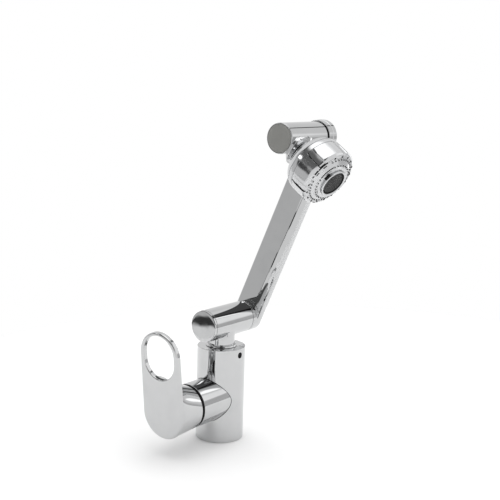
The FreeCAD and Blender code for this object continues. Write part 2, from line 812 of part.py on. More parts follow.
# The spindle slides out of the cartridge as the lever is lifted.
spindle = piece("spindle", leverFrame)
revolve(spindle, [
    ("0", "spindleStart"),
    ("spindleRadius", "spindleStart"),
    ("spindleRadius", "spindleEnd - spindleChamfer"),
    ("spindleRadius - spindleChamfer", "spindleEnd"),
    ("0", "spindleEnd"),
])
drill(spindle, "crossPinRadius + runningGap", "4 * spindleRadius",
      place("0", "2 * spindleRadius", "crossPinReach", levelTurn))
crossPin = piece("spindle_pin", leverFrame)
drill(crossPin, "crossPinRadius", "2 * crossPinHalf",
      place("0", "crossPinHalf", "crossPinReach", levelTurn), add=True)
hingePin = piece("lever_hinge_pin", leverFrame)
drill(hingePin, "hingePinRadius", "2 * hingePinHalf",
      place("-hingeRise", "hingePinHalf", "hingeReach", levelTurn), add=True)

# The lever: a leaning plate with a finger ring, flared out of a round skirt.
lever = piece("lever", leverFrame)


def on_plate_face(edge):
    """Pick the edges of the plate's outer face."""
    lean = math.radians(now("plateLean"))
    ends = (edge.valueAt(edge.FirstParameter), edge.valueAt(edge.LastParameter))
    outer = now("plateReach") * math.cos(lean)
    return all(abs(end.z * math.cos(lean) - end.x * math.sin(lean) - outer) < closeEnough
               for end in ends)


face = sketch(lever, "XY_Plane", lift="plateReach", lean="-plateLean")
slot_outline(face, "plateFootRadius", "plateTopRadius", "0", "plateTopRise")
pad(lever, face, "plateThickness", reversed=True)
skirtFoot = sketch(lever, "XY_Plane", lift="skirtStart")
slot_outline(skirtFoot, "bossRadius", "bossRadius", "0", "runningGap")
skirtHead = sketch(lever, "XY_Plane", lift="plateReach - plateThickness / 2", lean="-plateLean")
slot_outline(skirtHead, "skirtHeadRadius", "skirtHeadRadius", "0", "skirtHeadRise")
skirt = lever.newObject("PartDesign::AdditiveLoft", "lever_skirt")
skirt.Profile = skirtFoot
skirt.Sections = [skirtHead]
skirt.Ruled = True
hole = sketch(lever, "XY_Plane", lift="plateReach + overcut", lean="-plateLean")
slot_outline(hole, "ringHoleRadius", "ringHoleRadius", "ringHoleLow", "ringHoleHigh")
pad(lever, hole, "plateThickness + 2 * overcut", cut=True)
soften(lever, "plateEdgeRound", on_plate_face)
drill(lever, "leverHollow", "hollowEnd - skirtStart + overcut", place(z="skirtStart - overcut"))
span(lever, ("-leverHollow - hingeEdge", "-lugHalf", "skirtStart"),
     ("-lugFloor", "lugHalf", "skirtStart + lugLength"), add=True)
span(lever, ("-hingeRise - tongueRadius - tonguePlay", "-tongueHalf - tonguePlay",
             "skirtStart - overcut"),
     ("-lugFloor + overcut", "tongueHalf + tonguePlay", tongueTop + " + tonguePlay"))
drill(lever, "hingePinRadius + runningGap", "2 * lugHalf",
      place("-hingeRise", "lugHalf", "hingeReach", levelTurn))
for low, high in (("cheekGap", "cheekFar"), ("-cheekFar", "-cheekGap")):
    span(lever, ("-cheekHeight / 2", low, "crossPinReach - cheekLead"),
         ("cheekHeight / 2", high, "hollowEnd + overcut"), add=True)
slotHalf = "(crossPinRadius + slotPlay)"
span(lever, ("-crossPinRadius - slotEnd", "-cheekFar - overcut", "crossPinReach - " + slotHalf),
     ("crossPinRadius + slotRun", "cheekFar + overcut", "crossPinReach + " + slotHalf))

# The neck: a stem that turns in the body, and the lower knuckle across its top.
neck = piece("swivel_neck")
knuckleFoot = "pivotHeight - lowerRadius"
revolve(neck, [
    ("0", "stemLow"),
    ("stemRadius", "stemLow"),
    ("stemRadius", "grooveLow"),
    ("stemRadius - retainDepth", "grooveLow"),
    ("stemRadius - retainDepth", "grooveHigh"),
    ("stemRadius", "grooveHigh"),
    ("stemRadius", "neckLow"),
    ("neckRadius", "neckLow"),
    ("neckRadius", knuckleFoot + " - neckFlare"),
    ("neckRadius + neckFlare / 4", knuckleFoot + " + neckFlare"),
    ("neckRadius + neckFlare", knuckleFoot + " + 3 * neckFlare"),
    ("neckRadius + neckFlare", "pivotHeight"),
    ("0", "pivotHeight"),
])
seal_grooves(neck, "stemRadius", ("neckSealLow", "neckSealHigh"))
knuckleStart = place(x="lowerFaceReach", z="pivotHeight", turn=crossTurn)
drill(neck, "lowerRadius", "lowerEndReach + lowerFaceReach", knuckleStart, add=True)
drill(neck, "lowerSpigotRadius + runningGap", "lowerFaceReach + lowerShoulder", knuckleStart)
drill(neck, "capBore", "lowerCapReach - lowerShoulder",
      place(x="-lowerShoulder", z="pivotHeight", turn=crossTurn))
drill(neck, "stemBore", "pivotHeight - lowerSpigotRadius / 2 - stemLow", place(z="stemLow"))
seal_group("neck_seals", place(), "stemRadius", ("neckSealLow", "neckSealHigh"))

lowerCap = piece("lower_end_cap", lowerFrame)
capBack = "lowerCapReach - capThickness"
lowerPlugStart = "(%s - capPlugLength)" % capBack
revolve(lowerCap, cap_plug("plugRadius", lowerPlugStart, capBack) + [
    ("lowerRadius - capShrink", capBack),
    ("lowerRadius - capShrink", "lowerCapReach - capEdge"),
    ("lowerRadius - capShrink - capEdge", "lowerCapReach"),
    ("0", "lowerCapReach"),
])
seal_group("lower_cap_seal", lowerFrame, "capBore", (lowerPlugStart + " + sealWidth / 2",))

# The arm: a flat crowned bar with a round hub at each end.
arm = piece("arm", armFrame)


def crowned_half(drawing):
    """Half of the bar's section: flat, crowned, rounded, then the same on the other face."""
    width, flat = now("armHalfWidth"), now("armFlatHalf")
    crown, edge = now("armCrownRadius"), now("armEdgeRadius")
    front, back = now("-armFaceReach"), now("-armFaceReach - armThickness")
    deep = math.sqrt((crown - edge) ** 2 - (width - edge - flat) ** 2)
    turn = math.asin((width - edge - flat) / (crown - edge))
    half = math.pi / 2
    up = FreeCAD.Vector(0, 0, 1)
    point = FreeCAD.Vector
    upper = point(width - edge, front - crown + deep, 0)
    lower = point(width - edge, back + crown - deep, 0)
    frontCrown = Part.Circle(point(flat, front - crown, 0), up, crown)
    backCrown = Part.Circle(point(flat, back + crown, 0), up, crown)
    shapes = [
        Part.LineSegment(point(0, front, 0), point(flat, front, 0)),
        Part.ArcOfCircle(frontCrown, half - turn, half),
        Part.ArcOfCircle(Part.Circle(upper, up, edge), 0, half - turn),
        Part.LineSegment(point(width, upper.y, 0), point(width, lower.y, 0)),
        Part.ArcOfCircle(Part.Circle(lower, up, edge), turn - half, 0),
        Part.ArcOfCircle(backCrown, -half, turn - half),
        Part.LineSegment(point(flat, back, 0), point(0, back, 0)),
        Part.LineSegment(point(0, back, 0), point(0, front, 0)),
    ]
    for shape in shapes:
        drawing.addGeometry(shape, False)
    for join in ((0, 2, 1, 2), (1, 1, 2, 2), (2, 1, 3, 1), (3, 2, 4, 2), (4, 1, 5, 2), (5, 1, 6, 1)):
        drawing.addConstraint(Sketcher.Constraint("Tangent", *join))
    for join in ((6, 2, 7, 1), (7, 2, 0, 1)):
        drawing.addConstraint(Sketcher.Constraint("Coincident", *join))
    pin_point(drawing, 0, 1, "0", "-armFaceReach")
    pin_point(drawing, 0, 2, "armFlatHalf", "-armFaceReach")
    pin_point(drawing, 6, 1, "armFlatHalf", "-armFaceReach - armThickness")
    pin_point(drawing, 6, 2, "0", "-armFaceReach - armThickness")
    constrain(drawing, "armHalfWidth", "DistanceX", -1, 1, 3, 1, width)
    for curve, name in ((1, "armCrownRadius"), (5, "armCrownRadius"),
                        (2, "armEdgeRadius"), (4, "armEdgeRadius")):
        constrain(drawing, name, "Radius", curve, now(name))


bar = sketch(arm, "YZ_Plane")
crowned_half(bar)
pad(arm, bar, "armLength")
doc.recompute()
mirror = arm.newObject("PartDesign::Mirrored", "arm_mirror")
mirror.Originals = [arm.Tip]
mirror.MirrorPlane = (plane(arm, "XZ_Plane"), [""])
arm.Tip = mirror
for along in (None, "armLength"):
    end = sketch(arm, "YZ_Plane", lift=along)
    crowned_half(end)
    hubTurn = arm.newObject("PartDesign::Revolution", "arm_hub")
    hubTurn.Profile = end
    hubTurn.ReferenceAxis = (end, ["V_Axis"])
    hubTurn.Angle = 360
drill(arm, "armHalfWidth", "armMiddle - lowerHubFace", place(z="-armMiddle"), add=True)
drill(arm, "upperHubRadius", "armMiddle - upperHubFace",
      place("armLength", "0", "-armMiddle"), add=True)
drill(arm, "lowerTailRadius + runningGap", "spigotTailLength + overcut", place(z="-lowerTail"))
drill(arm, "upperTailRadius + runningGap", "spigotTailLength + overcut",
      place("armLength", "0", "-upperTail"))
drill(arm, "armBore", "armLength", place("0", "0", "-armBoreReach", turned((0, 1, 0), "90")))

# Spigots: the arm hangs on the knuckles by these, and the water passes through them.
lowerSpigot = piece("lower_spigot", lowerFrame)
pocketFloor = "lowerSpigotEnd - screwPocket"
revolve(lowerSpigot, [
    ("lowerSpigotBore", "-lowerTail + seatGap"),
    ("lowerTailRadius", "-lowerTail + seatGap"),
    ("lowerTailRadius", "-lowerHubFace"),
    ("lowerSpigotRadius", "-lowerHubFace"),
    ("lowerSpigotRadius", "-waistNear"),
    ("waistRadius", "-waistNear"),
    ("waistRadius", "waistFar"),
    ("lowerSpigotRadius", "waistFar"),
    ("lowerSpigotRadius", "lowerSpigotEnd"),
    ("clampScrewRadius", "lowerSpigotEnd"),
    ("clampScrewRadius", pocketFloor),
    ("lowerSpigotBore", pocketFloor + " - sealInset / 2"),
])
seal_grooves(lowerSpigot, "lowerSpigotRadius", ("outerSeal", "innerSeal"))
drill(lowerSpigot, "waistNear / 2 - seatGap", "2 * lowerSpigotRadius + 2 * overcut",
      place("0", "lowerSpigotRadius + overcut", "-waistNear / 2", levelTurn))
seal_group("lower_spigot_seals", lowerFrame, "lowerSpigotRadius", ("outerSeal", "innerSeal"))
ring("lower_slip_ring", lowerFrame, "lowerSpigotRadius + faceGap", "lowerRadius - slipRingInset",
     "-lowerHubFace", "-lowerFaceReach - faceGap")
ring("lower_clamp_washer", lowerFrame, "clampScrewRadius + seatGap",
     "capBore - clampWasherPlay", "lowerSpigotEnd", "clampHeadStart")
clampScrew = piece("lower_clamp_screw", lowerFrame)
revolve(clampScrew, [
    ("0", pocketFloor + " + faceGap"),
    ("clampScrewRadius - runningGap", pocketFloor + " + faceGap"),
    ("clampScrewRadius - runningGap", "clampHeadStart"),
    ("clampScrewHead", "clampHeadStart"),
    ("clampScrewHead", "clampHeadStart + clampScrewHeadHeight"),
    ("0", "clampHeadStart + clampScrewHeadHeight"),
])

upperSpigot = piece("upper_spigot", upperFrame)
revolve(upperSpigot, [
    ("upperSpigotBore", "-upperTail + seatGap"),
    ("upperTailRadius", "-upperTail + seatGap"),
    ("upperTailRadius", "-upperHubFace"),
    ("upperSpigotRadius", "-upperHubFace"),
    ("upperSpigotRadius", "-upperSpigotEnd"),
    ("upperSpigotBore", "-upperSpigotEnd"),
])
seal_grooves(upperSpigot, "upperSpigotRadius", ("upperInnerSeal", "upperOuterSeal"))
clip_groove(upperSpigot, "upperSpigotRadius", "upperClipStart", "upperClipEnd")
seal_group("upper_spigot_seals", upperFrame, "upperSpigotRadius",
           ("upperInnerSeal", "upperOuterSeal"))
ring("upper_slip_ring", upperFrame, "upperSpigotRadius + faceGap", "upperRadius - slipRingInset",
     "-upperHubFace", "-upperFaceReach - faceGap")
circlip("upper_circlip", upperFrame, "upperSpigotRadius - clipDepth",
        "upperClipStart", "upperClipEnd")

# The upper knuckle: a tube across the arm's end with the outlet on its front.
upper = piece("upper_knuckle", upperFrame)
revolve(upper, [
    ("0", "-upperFaceReach"),
    ("upperRadius", "-upperFaceReach"),
    ("upperRadius", "upperEndReach"),
    ("0", "upperEndReach"),
])
outletLean = turned((0, 0, 1), "-outletDip") + " * " + levelTurn
outletStart = place("0", "0", "outletReach", outletLean)
drill(upper, "outletRadius", "outletEnd", outletStart, add=True)
revolve(upper, [
    ("0", "-upperFaceReach - overcut"),
    ("upperSpigotRadius + runningGap", "-upperFaceReach - overcut"),
    ("upperSpigotRadius + runningGap", "-upperShoulderReach"),
    ("chamberUpper", "-upperShoulderReach"),
    ("chamberUpper", "upperCapReach"),
    ("0", "upperCapReach"),
], cut=True)
drill(upper, "outletBore", "outletEnd + overcut", outletStart)
upperCap = piece("upper_end_cap", upperFrame)
upperCapBack = "upperCapReach - upperCapThickness"
revolve(upperCap, cap_plug("upperPlug", "upperPlugStart", upperCapBack) + [
    ("upperRadius - capShrink", upperCapBack),
    ("upperRadius - capShrink", "upperCapReach - capEdge"),
    ("upperRadius - capShrink - 2 * capEdge", "upperCapReach"),
    ("upperRadius / 2", "upperCapReach + 0.75 * upperCapDome"),
    ("0", "upperCapReach + upperCapDome"),
])
seal_group("upper_cap_seal", upperFrame, "chamberUpper", ("upperPlugStart + sealWidth / 2",))

# Outlet nut, its washer and the ball stud that the spray head hangs on.
outletNut = piece("outlet_nut", outletFrame)
revolve(outletNut, [
    ("outletRadius + runningGap", "outletNutStart"),
    ("outletNutRadius", "outletNutStart"),
    ("outletNutRadius", "nutCollarStart"),
    ("outletNutCollar", "nutCollarStart"),
    ("outletNutCollar", "outletNutEnd - nutCollarChamfer"),
    ("outletNutCollar - nutCollarChamfer", "outletNutEnd"),
    ("nutLipRadius", "outletNutEnd"),
    ("nutLipRadius", "nutLipStart"),
    ("outletRadius + runningGap", "nutLipStart"),
])
for low, high in (("nutHalfAcross", "outletNutCollar"), ("-outletNutCollar", "-nutHalfAcross")):
    span(outletNut, (low, "-outletNutCollar", "outletNutStart - overcut"),
         (high, "outletNutCollar", "nutCollarStart"))
ring("outlet_washer", outletFrame, "outletBore + faceGap", "outletRadius - faceGap",
     "outletEnd + runningGap", "outletWasherEnd")
stud = piece("ball_stud", outletFrame)
revolve(stud, [
    ("ballBore", "studBack"),
    ("outletRadius - faceGap", "studBack"),
    ("outletRadius - faceGap", "studFront"),
    ("studNeckRadius", "studFront"),
    ("studNeckRadius", "ballStation"),
    ("ballBore", "ballStation"),
])
sphere(stud, "ballRadius", place(z="ballStation"), add=True)
drill(stud, "ballBore", "ballStation", place(z="outletEnd"))

# Spray head, in a frame whose z runs out of the ball along the head's own axis.
ballRing = piece("ball_ring", headFrame)
revolve(ballRing, [
    ("ringMouth", "-ringBack"),
    ("outletNutCollar", "-ringBack + ringBackSlope"),
    ("ballRingRadius", "-ringBack + 1.5 * ringBackSlope"),
    ("ballRingRadius", "shoulderStart - faceGap"),
    ("ringThread", "shoulderStart - faceGap"),
    ("ringThread", "ballRingLength"),
    ("ringBore", "ballRingLength"),
    ("ringBore", "drumEdge"),
    ("ringMouth", "drumEdge"),
])
sphere(ballRing, "ballRadius + runningGap", place())

drum = piece("spray_body", headFrame)
revolve(drum, [
    ("ringThread + runningGap", "shoulderStart"),
    ("shoulderRadius", "shoulderStart"),
    ("shoulderRadius + 2 * shoulderRound", "shoulderStart + shoulderRound"),
    ("drumBackRadius", "drumBackStation"),
    ("(drumBackRadius + drumWideRadius) / 2 + drumBulge",
     "(drumBackStation + drumWideStation) / 2"),
    ("drumWideRadius", "drumWideStation"),
    ("drumWideRadius", "drumEndStation - drumEdge"),
    ("drumWideRadius - drumEdge", "drumEndStation"),
    ("drumInner", "drumEndStation"),
    ("drumInner", "drumWideStation"),
    ("drumBackRadius - drumWall", "drumBackStation + drumFloor"),
    ("hubRadius", "drumBackStation + drumFloor"),
    ("hubRadius", "hubEnd"),
    ("ballSeatBore", "hubEnd"),
    ("ballSeatBore", "ballSeatEnd"),
    ("ringThread + runningGap", "ballSeatEnd"),
])
valley = sketch(drum, "XY_Plane", lift="drumEndStation + overcut")
valleyIn = "(drumWideRadius - valleyDepth)"
valleyOut = "(drumWideRadius + 2 * overcut)"
valleyMiddle = "(lobeAngle + 180 / lobeCount)"
corners = ((valleyIn, "-"), (valleyOut, "-"), (valleyOut, "+"), (valleyIn, "+"))
outline(valley, [("%s * cos(%s %s valleyAngle / 2)" % (reach, valleyMiddle, side),
                  "%s * sin(%s %s valleyAngle / 2)" % (reach, valleyMiddle, side))
                 for reach, side in corners])
scoop = pad(drum, valley, "drumEndStation + overcut - valleyStart", cut=True)
around(drum, scoop, "lobeCount")

ballSeat = ring("ball_seat", headFrame, "ballSeatBore", "ringThread - seatGap",
                "ballRingLength + runningGap", "ballSeatEnd")
sphere(ballSeat, "ballRadius + runningGap", place())

rim = piece("rim_ring", headFrame)
revolve(rim, [
    ("rimInner", "drumEndStation"),
    ("rimOuter", "drumEndStation"),
    ("rimOuter", "rimEnd - rimRound"),
    ("rimOuter - rimRound", "rimEnd"),
    ("rimInner", "rimEnd"),
])
notch = drill(rim, "rimNotchRadius", "rimThickness + 2 * overcut",
              place("rimInner * cos(lobeAngle + valleyAngle)",
                    "rimInner * sin(lobeAngle + valleyAngle)", "drumEndStation - overcut"))
around(rim, notch, "rimNotchCount")

sprayFace = piece("spray_face", headFrame)
revolve(sprayFace, [
    ("aeratorRadius + runningGap", "faceBack"),
    ("aeratorRing + faceWall / 2", "faceBack"),
    ("aeratorRing + faceWall / 2", "faceHubStation - faceWall"),
    ("faceHubRadius - faceWall", "faceHubStation - faceWall"),
    ("rimInner - faceWall", "rimEnd - faceWall"),
    ("rimInner - faceWall", "faceBack"),
    ("drumInner - seatGap", "faceBack"),
    ("drumInner - seatGap", "drumEndStation - runningGap"),
    ("rimInner - seatGap", "drumEndStation - runningGap"),
    ("rimInner - seatGap", "rimEnd"),
    ("faceHubRadius", "faceHubStation"),
    ("faceHubRadius - faceHubRound", "faceTopStation"),
    ("aeratorRing + seatGap", "faceTopStation"),
    ("aeratorRing + seatGap", "faceHubStation"),
    ("aeratorRadius + runningGap", "faceHubStation"),
])
for spacing, count in (("outerNozzleRing", "outerNozzleCount"),
                       ("innerNozzleRing", "innerNozzleCount")):
    nozzle = drill(sprayFace, "nozzleRadius", "faceTopStation - faceBack",
                   place(spacing, "0", "faceBack"))
    around(sprayFace, nozzle, count)


def at_tab(radius, across, station):
    """A frame turned to the tab's angle, with its corner at a radius and an offset across."""
    x = "(%s) * cos(tabAngle) - (%s) * sin(tabAngle)" % (radius, across)
    y = "(%s) * sin(tabAngle) + (%s) * cos(tabAngle)" % (radius, across)
    return place(x, y, station, turned((0, 0, 1), "tabAngle"))


stemWidth = "tabLength - 2 * tabStemInset"
block(sprayFace, ("tabStem + 2 * seatGap", stemWidth + " + tabTravel + 2 * seatGap",
                  "tabStemDepth + faceWall + overcut"),
      at_tab("tabStemStart - seatGap", "-tabLength / 2 + tabStemInset - seatGap",
             "faceTopStation - tabStemDepth - faceWall"))
tab = piece("selector_tab", headFrame)
block(tab, ("tabWidth", "tabLength", "tabHeight"),
      at_tab("aeratorRing + faceGap", "-tabLength / 2", "faceTopStation + seatGap"), add=True)
block(tab, ("tabStem", stemWidth, "tabStemDepth + tabHeight / 2"),
      at_tab("tabStemStart", "-tabLength / 2 + tabStemInset",
             "faceTopStation - tabStemDepth"), add=True)

ring("flow_divider", headFrame, "ballSeatBore", "drumInner - seatGap",
     "dividerStation", "dividerStation + dividerThickness")
aerator = piece("aerator_housing", headFrame)
revolve(aerator, [
    ("aeratorRadius - aeratorWall", "aeratorBack"),
    ("aeratorRadius", "aeratorBack"),
    ("aeratorRadius", "faceHubStation + seatGap"),
    ("aeratorRing", "faceHubStation + seatGap"),
    ("aeratorRing", "aeratorEnd - aeratorEdge"),
    ("aeratorRing - aeratorEdge", "aeratorEnd"),
    ("aeratorRadius - seatGap", "aeratorEnd"),
    ("insertRadius", "aeratorEnd - aeratorMouth"),
    ("insertRadius", "insertBack"),
    ("aeratorRadius - aeratorWall", "insertBack"),
])
ring("aerator_insert", headFrame, "aeratorPin", "insertRadius - seatGap",
     "insertBack", "insertBack + aeratorInsertDepth")

doc.recompute()

for item in doc.Objects:
    if "Invalid" in item.State or "Error" in item.State:
        raise RuntimeError("%s did not build: %s" % (item.Label, item.State))
for item in pieces:
    if item.Shape.isNull() or not item.Shape.isValid():
        raise RuntimeError("%s has no valid shape" % item.Label)

os.makedirs("parts", exist_ok=True)
for item in pieces:
    item.Shape.exportStep("parts/%s.step" % item.Label)
    print("%-22s solids %d  volume %9.1f" % (item.Label, len(item.Shape.Solids), item.Shape.Volume))
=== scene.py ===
import bpy
import bmesh
import json
from math import radians, degrees, sin, cos, tan, asin, sqrt, atan2, pi
from mathutils import Matrix, Vector

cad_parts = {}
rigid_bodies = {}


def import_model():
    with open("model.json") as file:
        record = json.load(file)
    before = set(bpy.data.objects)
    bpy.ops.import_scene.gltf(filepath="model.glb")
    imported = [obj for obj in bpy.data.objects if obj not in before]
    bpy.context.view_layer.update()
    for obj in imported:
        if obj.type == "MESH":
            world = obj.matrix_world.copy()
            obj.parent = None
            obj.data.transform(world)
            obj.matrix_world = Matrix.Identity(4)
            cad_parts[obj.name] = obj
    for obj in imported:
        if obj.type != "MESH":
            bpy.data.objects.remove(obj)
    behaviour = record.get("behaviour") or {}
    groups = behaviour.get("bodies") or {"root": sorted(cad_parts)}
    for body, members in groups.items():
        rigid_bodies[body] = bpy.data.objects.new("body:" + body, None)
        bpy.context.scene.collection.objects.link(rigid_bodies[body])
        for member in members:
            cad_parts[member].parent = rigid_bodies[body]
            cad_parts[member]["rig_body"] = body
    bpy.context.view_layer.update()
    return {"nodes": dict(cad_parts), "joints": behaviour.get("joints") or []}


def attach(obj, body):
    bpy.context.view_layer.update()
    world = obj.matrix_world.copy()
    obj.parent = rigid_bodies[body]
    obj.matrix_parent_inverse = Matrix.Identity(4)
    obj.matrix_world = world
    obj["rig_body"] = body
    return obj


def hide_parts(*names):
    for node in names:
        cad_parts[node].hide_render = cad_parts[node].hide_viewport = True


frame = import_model()
nodes = frame["nodes"]
joints = {joint["name"]: joint for joint in frame["joints"]}
mm = 0.001
print("frame loaded:", len(nodes), "nodes")


# where the joints put the pieces; z of a cross frame points to the lever's side, x up
def pivotOf(name):
    return Vector(joints[name]["pos_m"])


def shift(x=0, y=0, z=0):
    return Matrix.Translation((x * mm, y * mm, z * mm))


def spinBy(angle):
    return Matrix.Rotation(radians(angle), 4, "Z")


headLean = 5.6                                           # degrees that the head hangs to one side
acrossTurn = Matrix.Rotation(radians(-90), 4, "Y")
kneePoint = pivotOf("knuckle_turn")
ballPoint = pivotOf("ball_spin")
armRise = kneePoint - pivotOf("arm_fold")
armLean = Matrix.Rotation(atan2(-armRise.y, armRise.z), 4, "X")
spinAxis = Vector(joints["ball_spin"]["axis"])
outletTurn = Matrix.Rotation(radians(90) + atan2(-spinAxis.z, -spinAxis.y), 4, "X")
headTurned = Matrix.Rotation(radians(-headLean), 4, "Y")

deckFrame = Matrix.Identity(4)
leverFrame = Matrix.Translation(pivotOf("lever_turn")) @ acrossTurn
knuckleFrame = Matrix.Translation(pivotOf("arm_fold")) @ acrossTurn
armFrame = Matrix.Translation(pivotOf("arm_fold")) @ armLean @ acrossTurn
kneeFrame = Matrix.Translation(kneePoint) @ acrossTurn
outletFrame = Matrix.Translation((ballPoint.x, kneePoint.y, kneePoint.z)) @ outletTurn
headFrame = Matrix.Translation(ballPoint) @ outletTurn @ headTurned


# nodes of the materials and of the studio
def feed(tree, socket, value):                           # links a socket, or sets a plain value
    if isinstance(value, bpy.types.NodeSocket):
        tree.links.new(value, socket)
    else:
        socket.default_value = value


def addNode(tree, kind, values=()):
    node = tree.nodes.new("ShaderNode" + kind)
    for label, value in dict(values).items():
        feed(tree, node.inputs[label], value)
    return node


def work(tree, operation, *values):
    node = addNode(tree, "Math")
    node.operation = operation
    for socket, value in zip(node.inputs, values):
        feed(tree, socket, value)
    return node.outputs[0]


def blend(tree, share, low, high):
    return addNode(tree, "Mix", {"Factor": share, "A": low, "B": high}).outputs[0]


def blendColours(tree, share, low, high):
    mixer = addNode(tree, "Mix")
    mixer.data_type = "RGBA"
    mixer.inputs["A"].default_value = (*low, 1)
    mixer.inputs["B"].default_value = (*high, 1)
    tree.links.new(share, mixer.inputs["Factor"])
    return mixer.outputs["Result"]


def addNoise(tree, size, detail, roughness=0.5):
    place = addNode(tree, "TexCoord").outputs["Object"]
    noise = addNode(tree, "TexNoise", {"Vector": place, "Scale": size, "Detail": detail,
                                       "Roughness": roughness})
    return noise.outputs["Fac"]


# finishes: the marks that several materials share are node groups with the same two outputs
def startGroup(name, takes):
    group = bpy.data.node_groups.new(name, "ShaderNodeTree")
    for label, value in takes.items():
        socket = group.interface.new_socket(label, in_out="INPUT", socket_type="NodeSocketFloat")
        socket.default_value = value
    for label in ("Mask", "Height"):
        group.interface.new_socket(label, in_out="OUTPUT", socket_type="NodeSocketFloat")
    return group, group.nodes.new("NodeGroupInput"), group.nodes.new("NodeGroupOutput")


mottleSize = 70                                          # waves per metre of the broad, faint mottle
rippleShare = 1.7                                        # the polishing ripple is finer than marks


def makeHandlingMarks():
    group, start, end = startGroup("handlingMarks", {"Size": 60.0, "Marks": 0.3, "Ripple": 0.3})
    film = addNoise(group, start.outputs["Size"], 4, 0.55)              # fingerprints, water film
    patches = addNode(group, "MapRange", {"Value": film, "From Min": 0.45, "From Max": 0.72})
    mask = work(group, "MULTIPLY", patches.outputs["Result"], start.outputs["Marks"])
    wave = addNoise(group, work(group, "MULTIPLY", start.outputs["Size"], rippleShare), 1)
    height = work(group, "MULTIPLY", wave, start.outputs["Ripple"])     # ripple left by polishing
    group.links.new(mask, end.inputs["Mask"])
    group.links.new(height, end.inputs["Height"])
    return group


def makeFineGrain():
    group, start, end = startGroup("fineGrain", {"Size": 900.0, "Depth": 0.5})
    grain = addNoise(group, start.outputs["Size"], 3)
    mottle = addNoise(group, mottleSize, 2)
    group.links.new(mottle, end.inputs["Mask"])
    group.links.new(work(group, "MULTIPLY", grain, start.outputs["Depth"]), end.inputs["Height"])
    return group


handlingMarks = makeHandlingMarks()
fineGrain = makeFineGrain()


def makeFinish(name, group, settings, tones, gloss, bump):              # bump: strength, metres
    finish = bpy.data.materials.new(name)
    finish.use_nodes = True
    tree = finish.node_tree
    marks = tree.nodes.new("ShaderNodeGroup")
    marks.node_tree = group
    for label, value in settings.items():
        marks.inputs[label].default_value = value
    mask = marks.outputs["Mask"]
    rough = addNode(tree, "MapRange", {"Value": mask, "To Min": gloss[0], "To Max": gloss[1]})
    relief = addNode(tree, "Bump", {"Height": marks.outputs["Height"], "Strength": bump[0],
                                    "Distance": bump[1]})
    shader = tree.nodes["Principled BSDF"]
    tree.links.new(blendColours(tree, mask, *tones), shader.inputs["Base Color"])
    tree.links.new(rough.outputs["Result"], shader.inputs["Roughness"])
    tree.links.new(relief.outputs["Normal"], shader.inputs["Normal"])
    return finish, shader


def makeMetal(name, tones, gloss, size, marks, ripple):
    settings = {"Size": size, "Marks": marks, "Ripple": ripple}
    metal, shader = makeFinish(name, handlingMarks, settings, tones, gloss, (0.25, 0.0003))
    shader.inputs["Metallic"].default_value = 1
    return metal


def makePlastic(name, tones, gloss, size, depth, shine=0.5):
    settings = {"Size": size, "Depth": depth}
    plastic, shader = makeFinish(name, fineGrain, settings, tones, gloss, (0.4, 0.0002))
    shader.inputs["Specular IOR Level"].default_value = shine
    return plastic


# tones run from the clean to the marked surface, and gloss is the roughness of both
finishes = {
    "chrome": makeMetal(
        "polishedChrome", tones=((0.56, 0.564, 0.568), (0.50, 0.505, 0.51)),
        gloss=(0.02, 0.10), size=55, marks=0.45, ripple=0.25),
    "chrome_plastic": makeMetal(
        "platedPlastic", tones=((0.60, 0.605, 0.612), (0.54, 0.545, 0.55)),
        gloss=(0.13, 0.24), size=75, marks=0.5, ripple=1.2),
    "steel": makeMetal(
        "turnedSteel", tones=((0.48, 0.48, 0.49), (0.38, 0.38, 0.39)),
        gloss=(0.2, 0.4), size=220, marks=0.8, ripple=1.0),
    "darkSteel": makeMetal(
        "blackenedSteel", tones=((0.045, 0.045, 0.048), (0.03, 0.03, 0.03)),
        gloss=(0.3, 0.5), size=220, marks=0.8, ripple=1.0),
    "brass": makeMetal(
        "machinedBrass", tones=((0.62, 0.42, 0.16), (0.48, 0.31, 0.12)),
        gloss=(0.18, 0.4), size=150, marks=0.8, ripple=0.8),
    # black rubber of the seals, and also the black of the strips and plugs painted as shade in the joint
    # line, grooves and holes
    "rubber": makePlastic(
        "sealRubberAndPaintedShade", tones=((0.002, 0.002, 0.002), (0.006, 0.006, 0.006)),
        gloss=(0.45, 0.7), size=1400, depth=0.6, shine=0.12),
    "black_plastic": makePlastic(
        "blackPlastic", tones=((0.006, 0.006, 0.006), (0.016, 0.016, 0.017)),
        gloss=(0.28, 0.45), size=1100, depth=0.4),
    "white_plastic": makePlastic(
        "slideRingPlastic", tones=((0.62, 0.61, 0.58), (0.7, 0.69, 0.66)),
        gloss=(0.35, 0.5), size=900, depth=0.3),
    "grey_plastic": makePlastic(
        "greyCapPlastic", tones=((0.215, 0.215, 0.204), (0.275, 0.275, 0.26)),
        gloss=(0.5, 0.62), size=1600, depth=0.35),
    "mesh_insert": makePlastic(
        "aeratorMesh", tones=((0.02, 0.02, 0.02), (0.045, 0.045, 0.045)),
        gloss=(0.35, 0.5), size=1300, depth=0.5),
}

for node in nodes.values():
    for holder in node.material_slots:
        holder.material = finishes[holder.material.name]
print("finishes ready")


# shaping: a piece is turned about its own z from (radius, height, corner round) points in mm
hair = 1e-6                                              # metres; what is nearer the middle is on it


def putDown():
    if bpy.context.object and bpy.context.object.mode != "OBJECT":
        bpy.ops.object.mode_set(mode="OBJECT")
    bpy.ops.object.select_all(action="DESELECT")


def pickUp(piece):
    putDown()
    piece.select_set(True)
    bpy.context.view_layer.objects.active = piece


def setDown(piece, place):                               # its place goes into its mesh
    pickUp(piece)
    piece.matrix_world = place
    bpy.ops.object.transform_apply(location=True, rotation=True, scale=True)


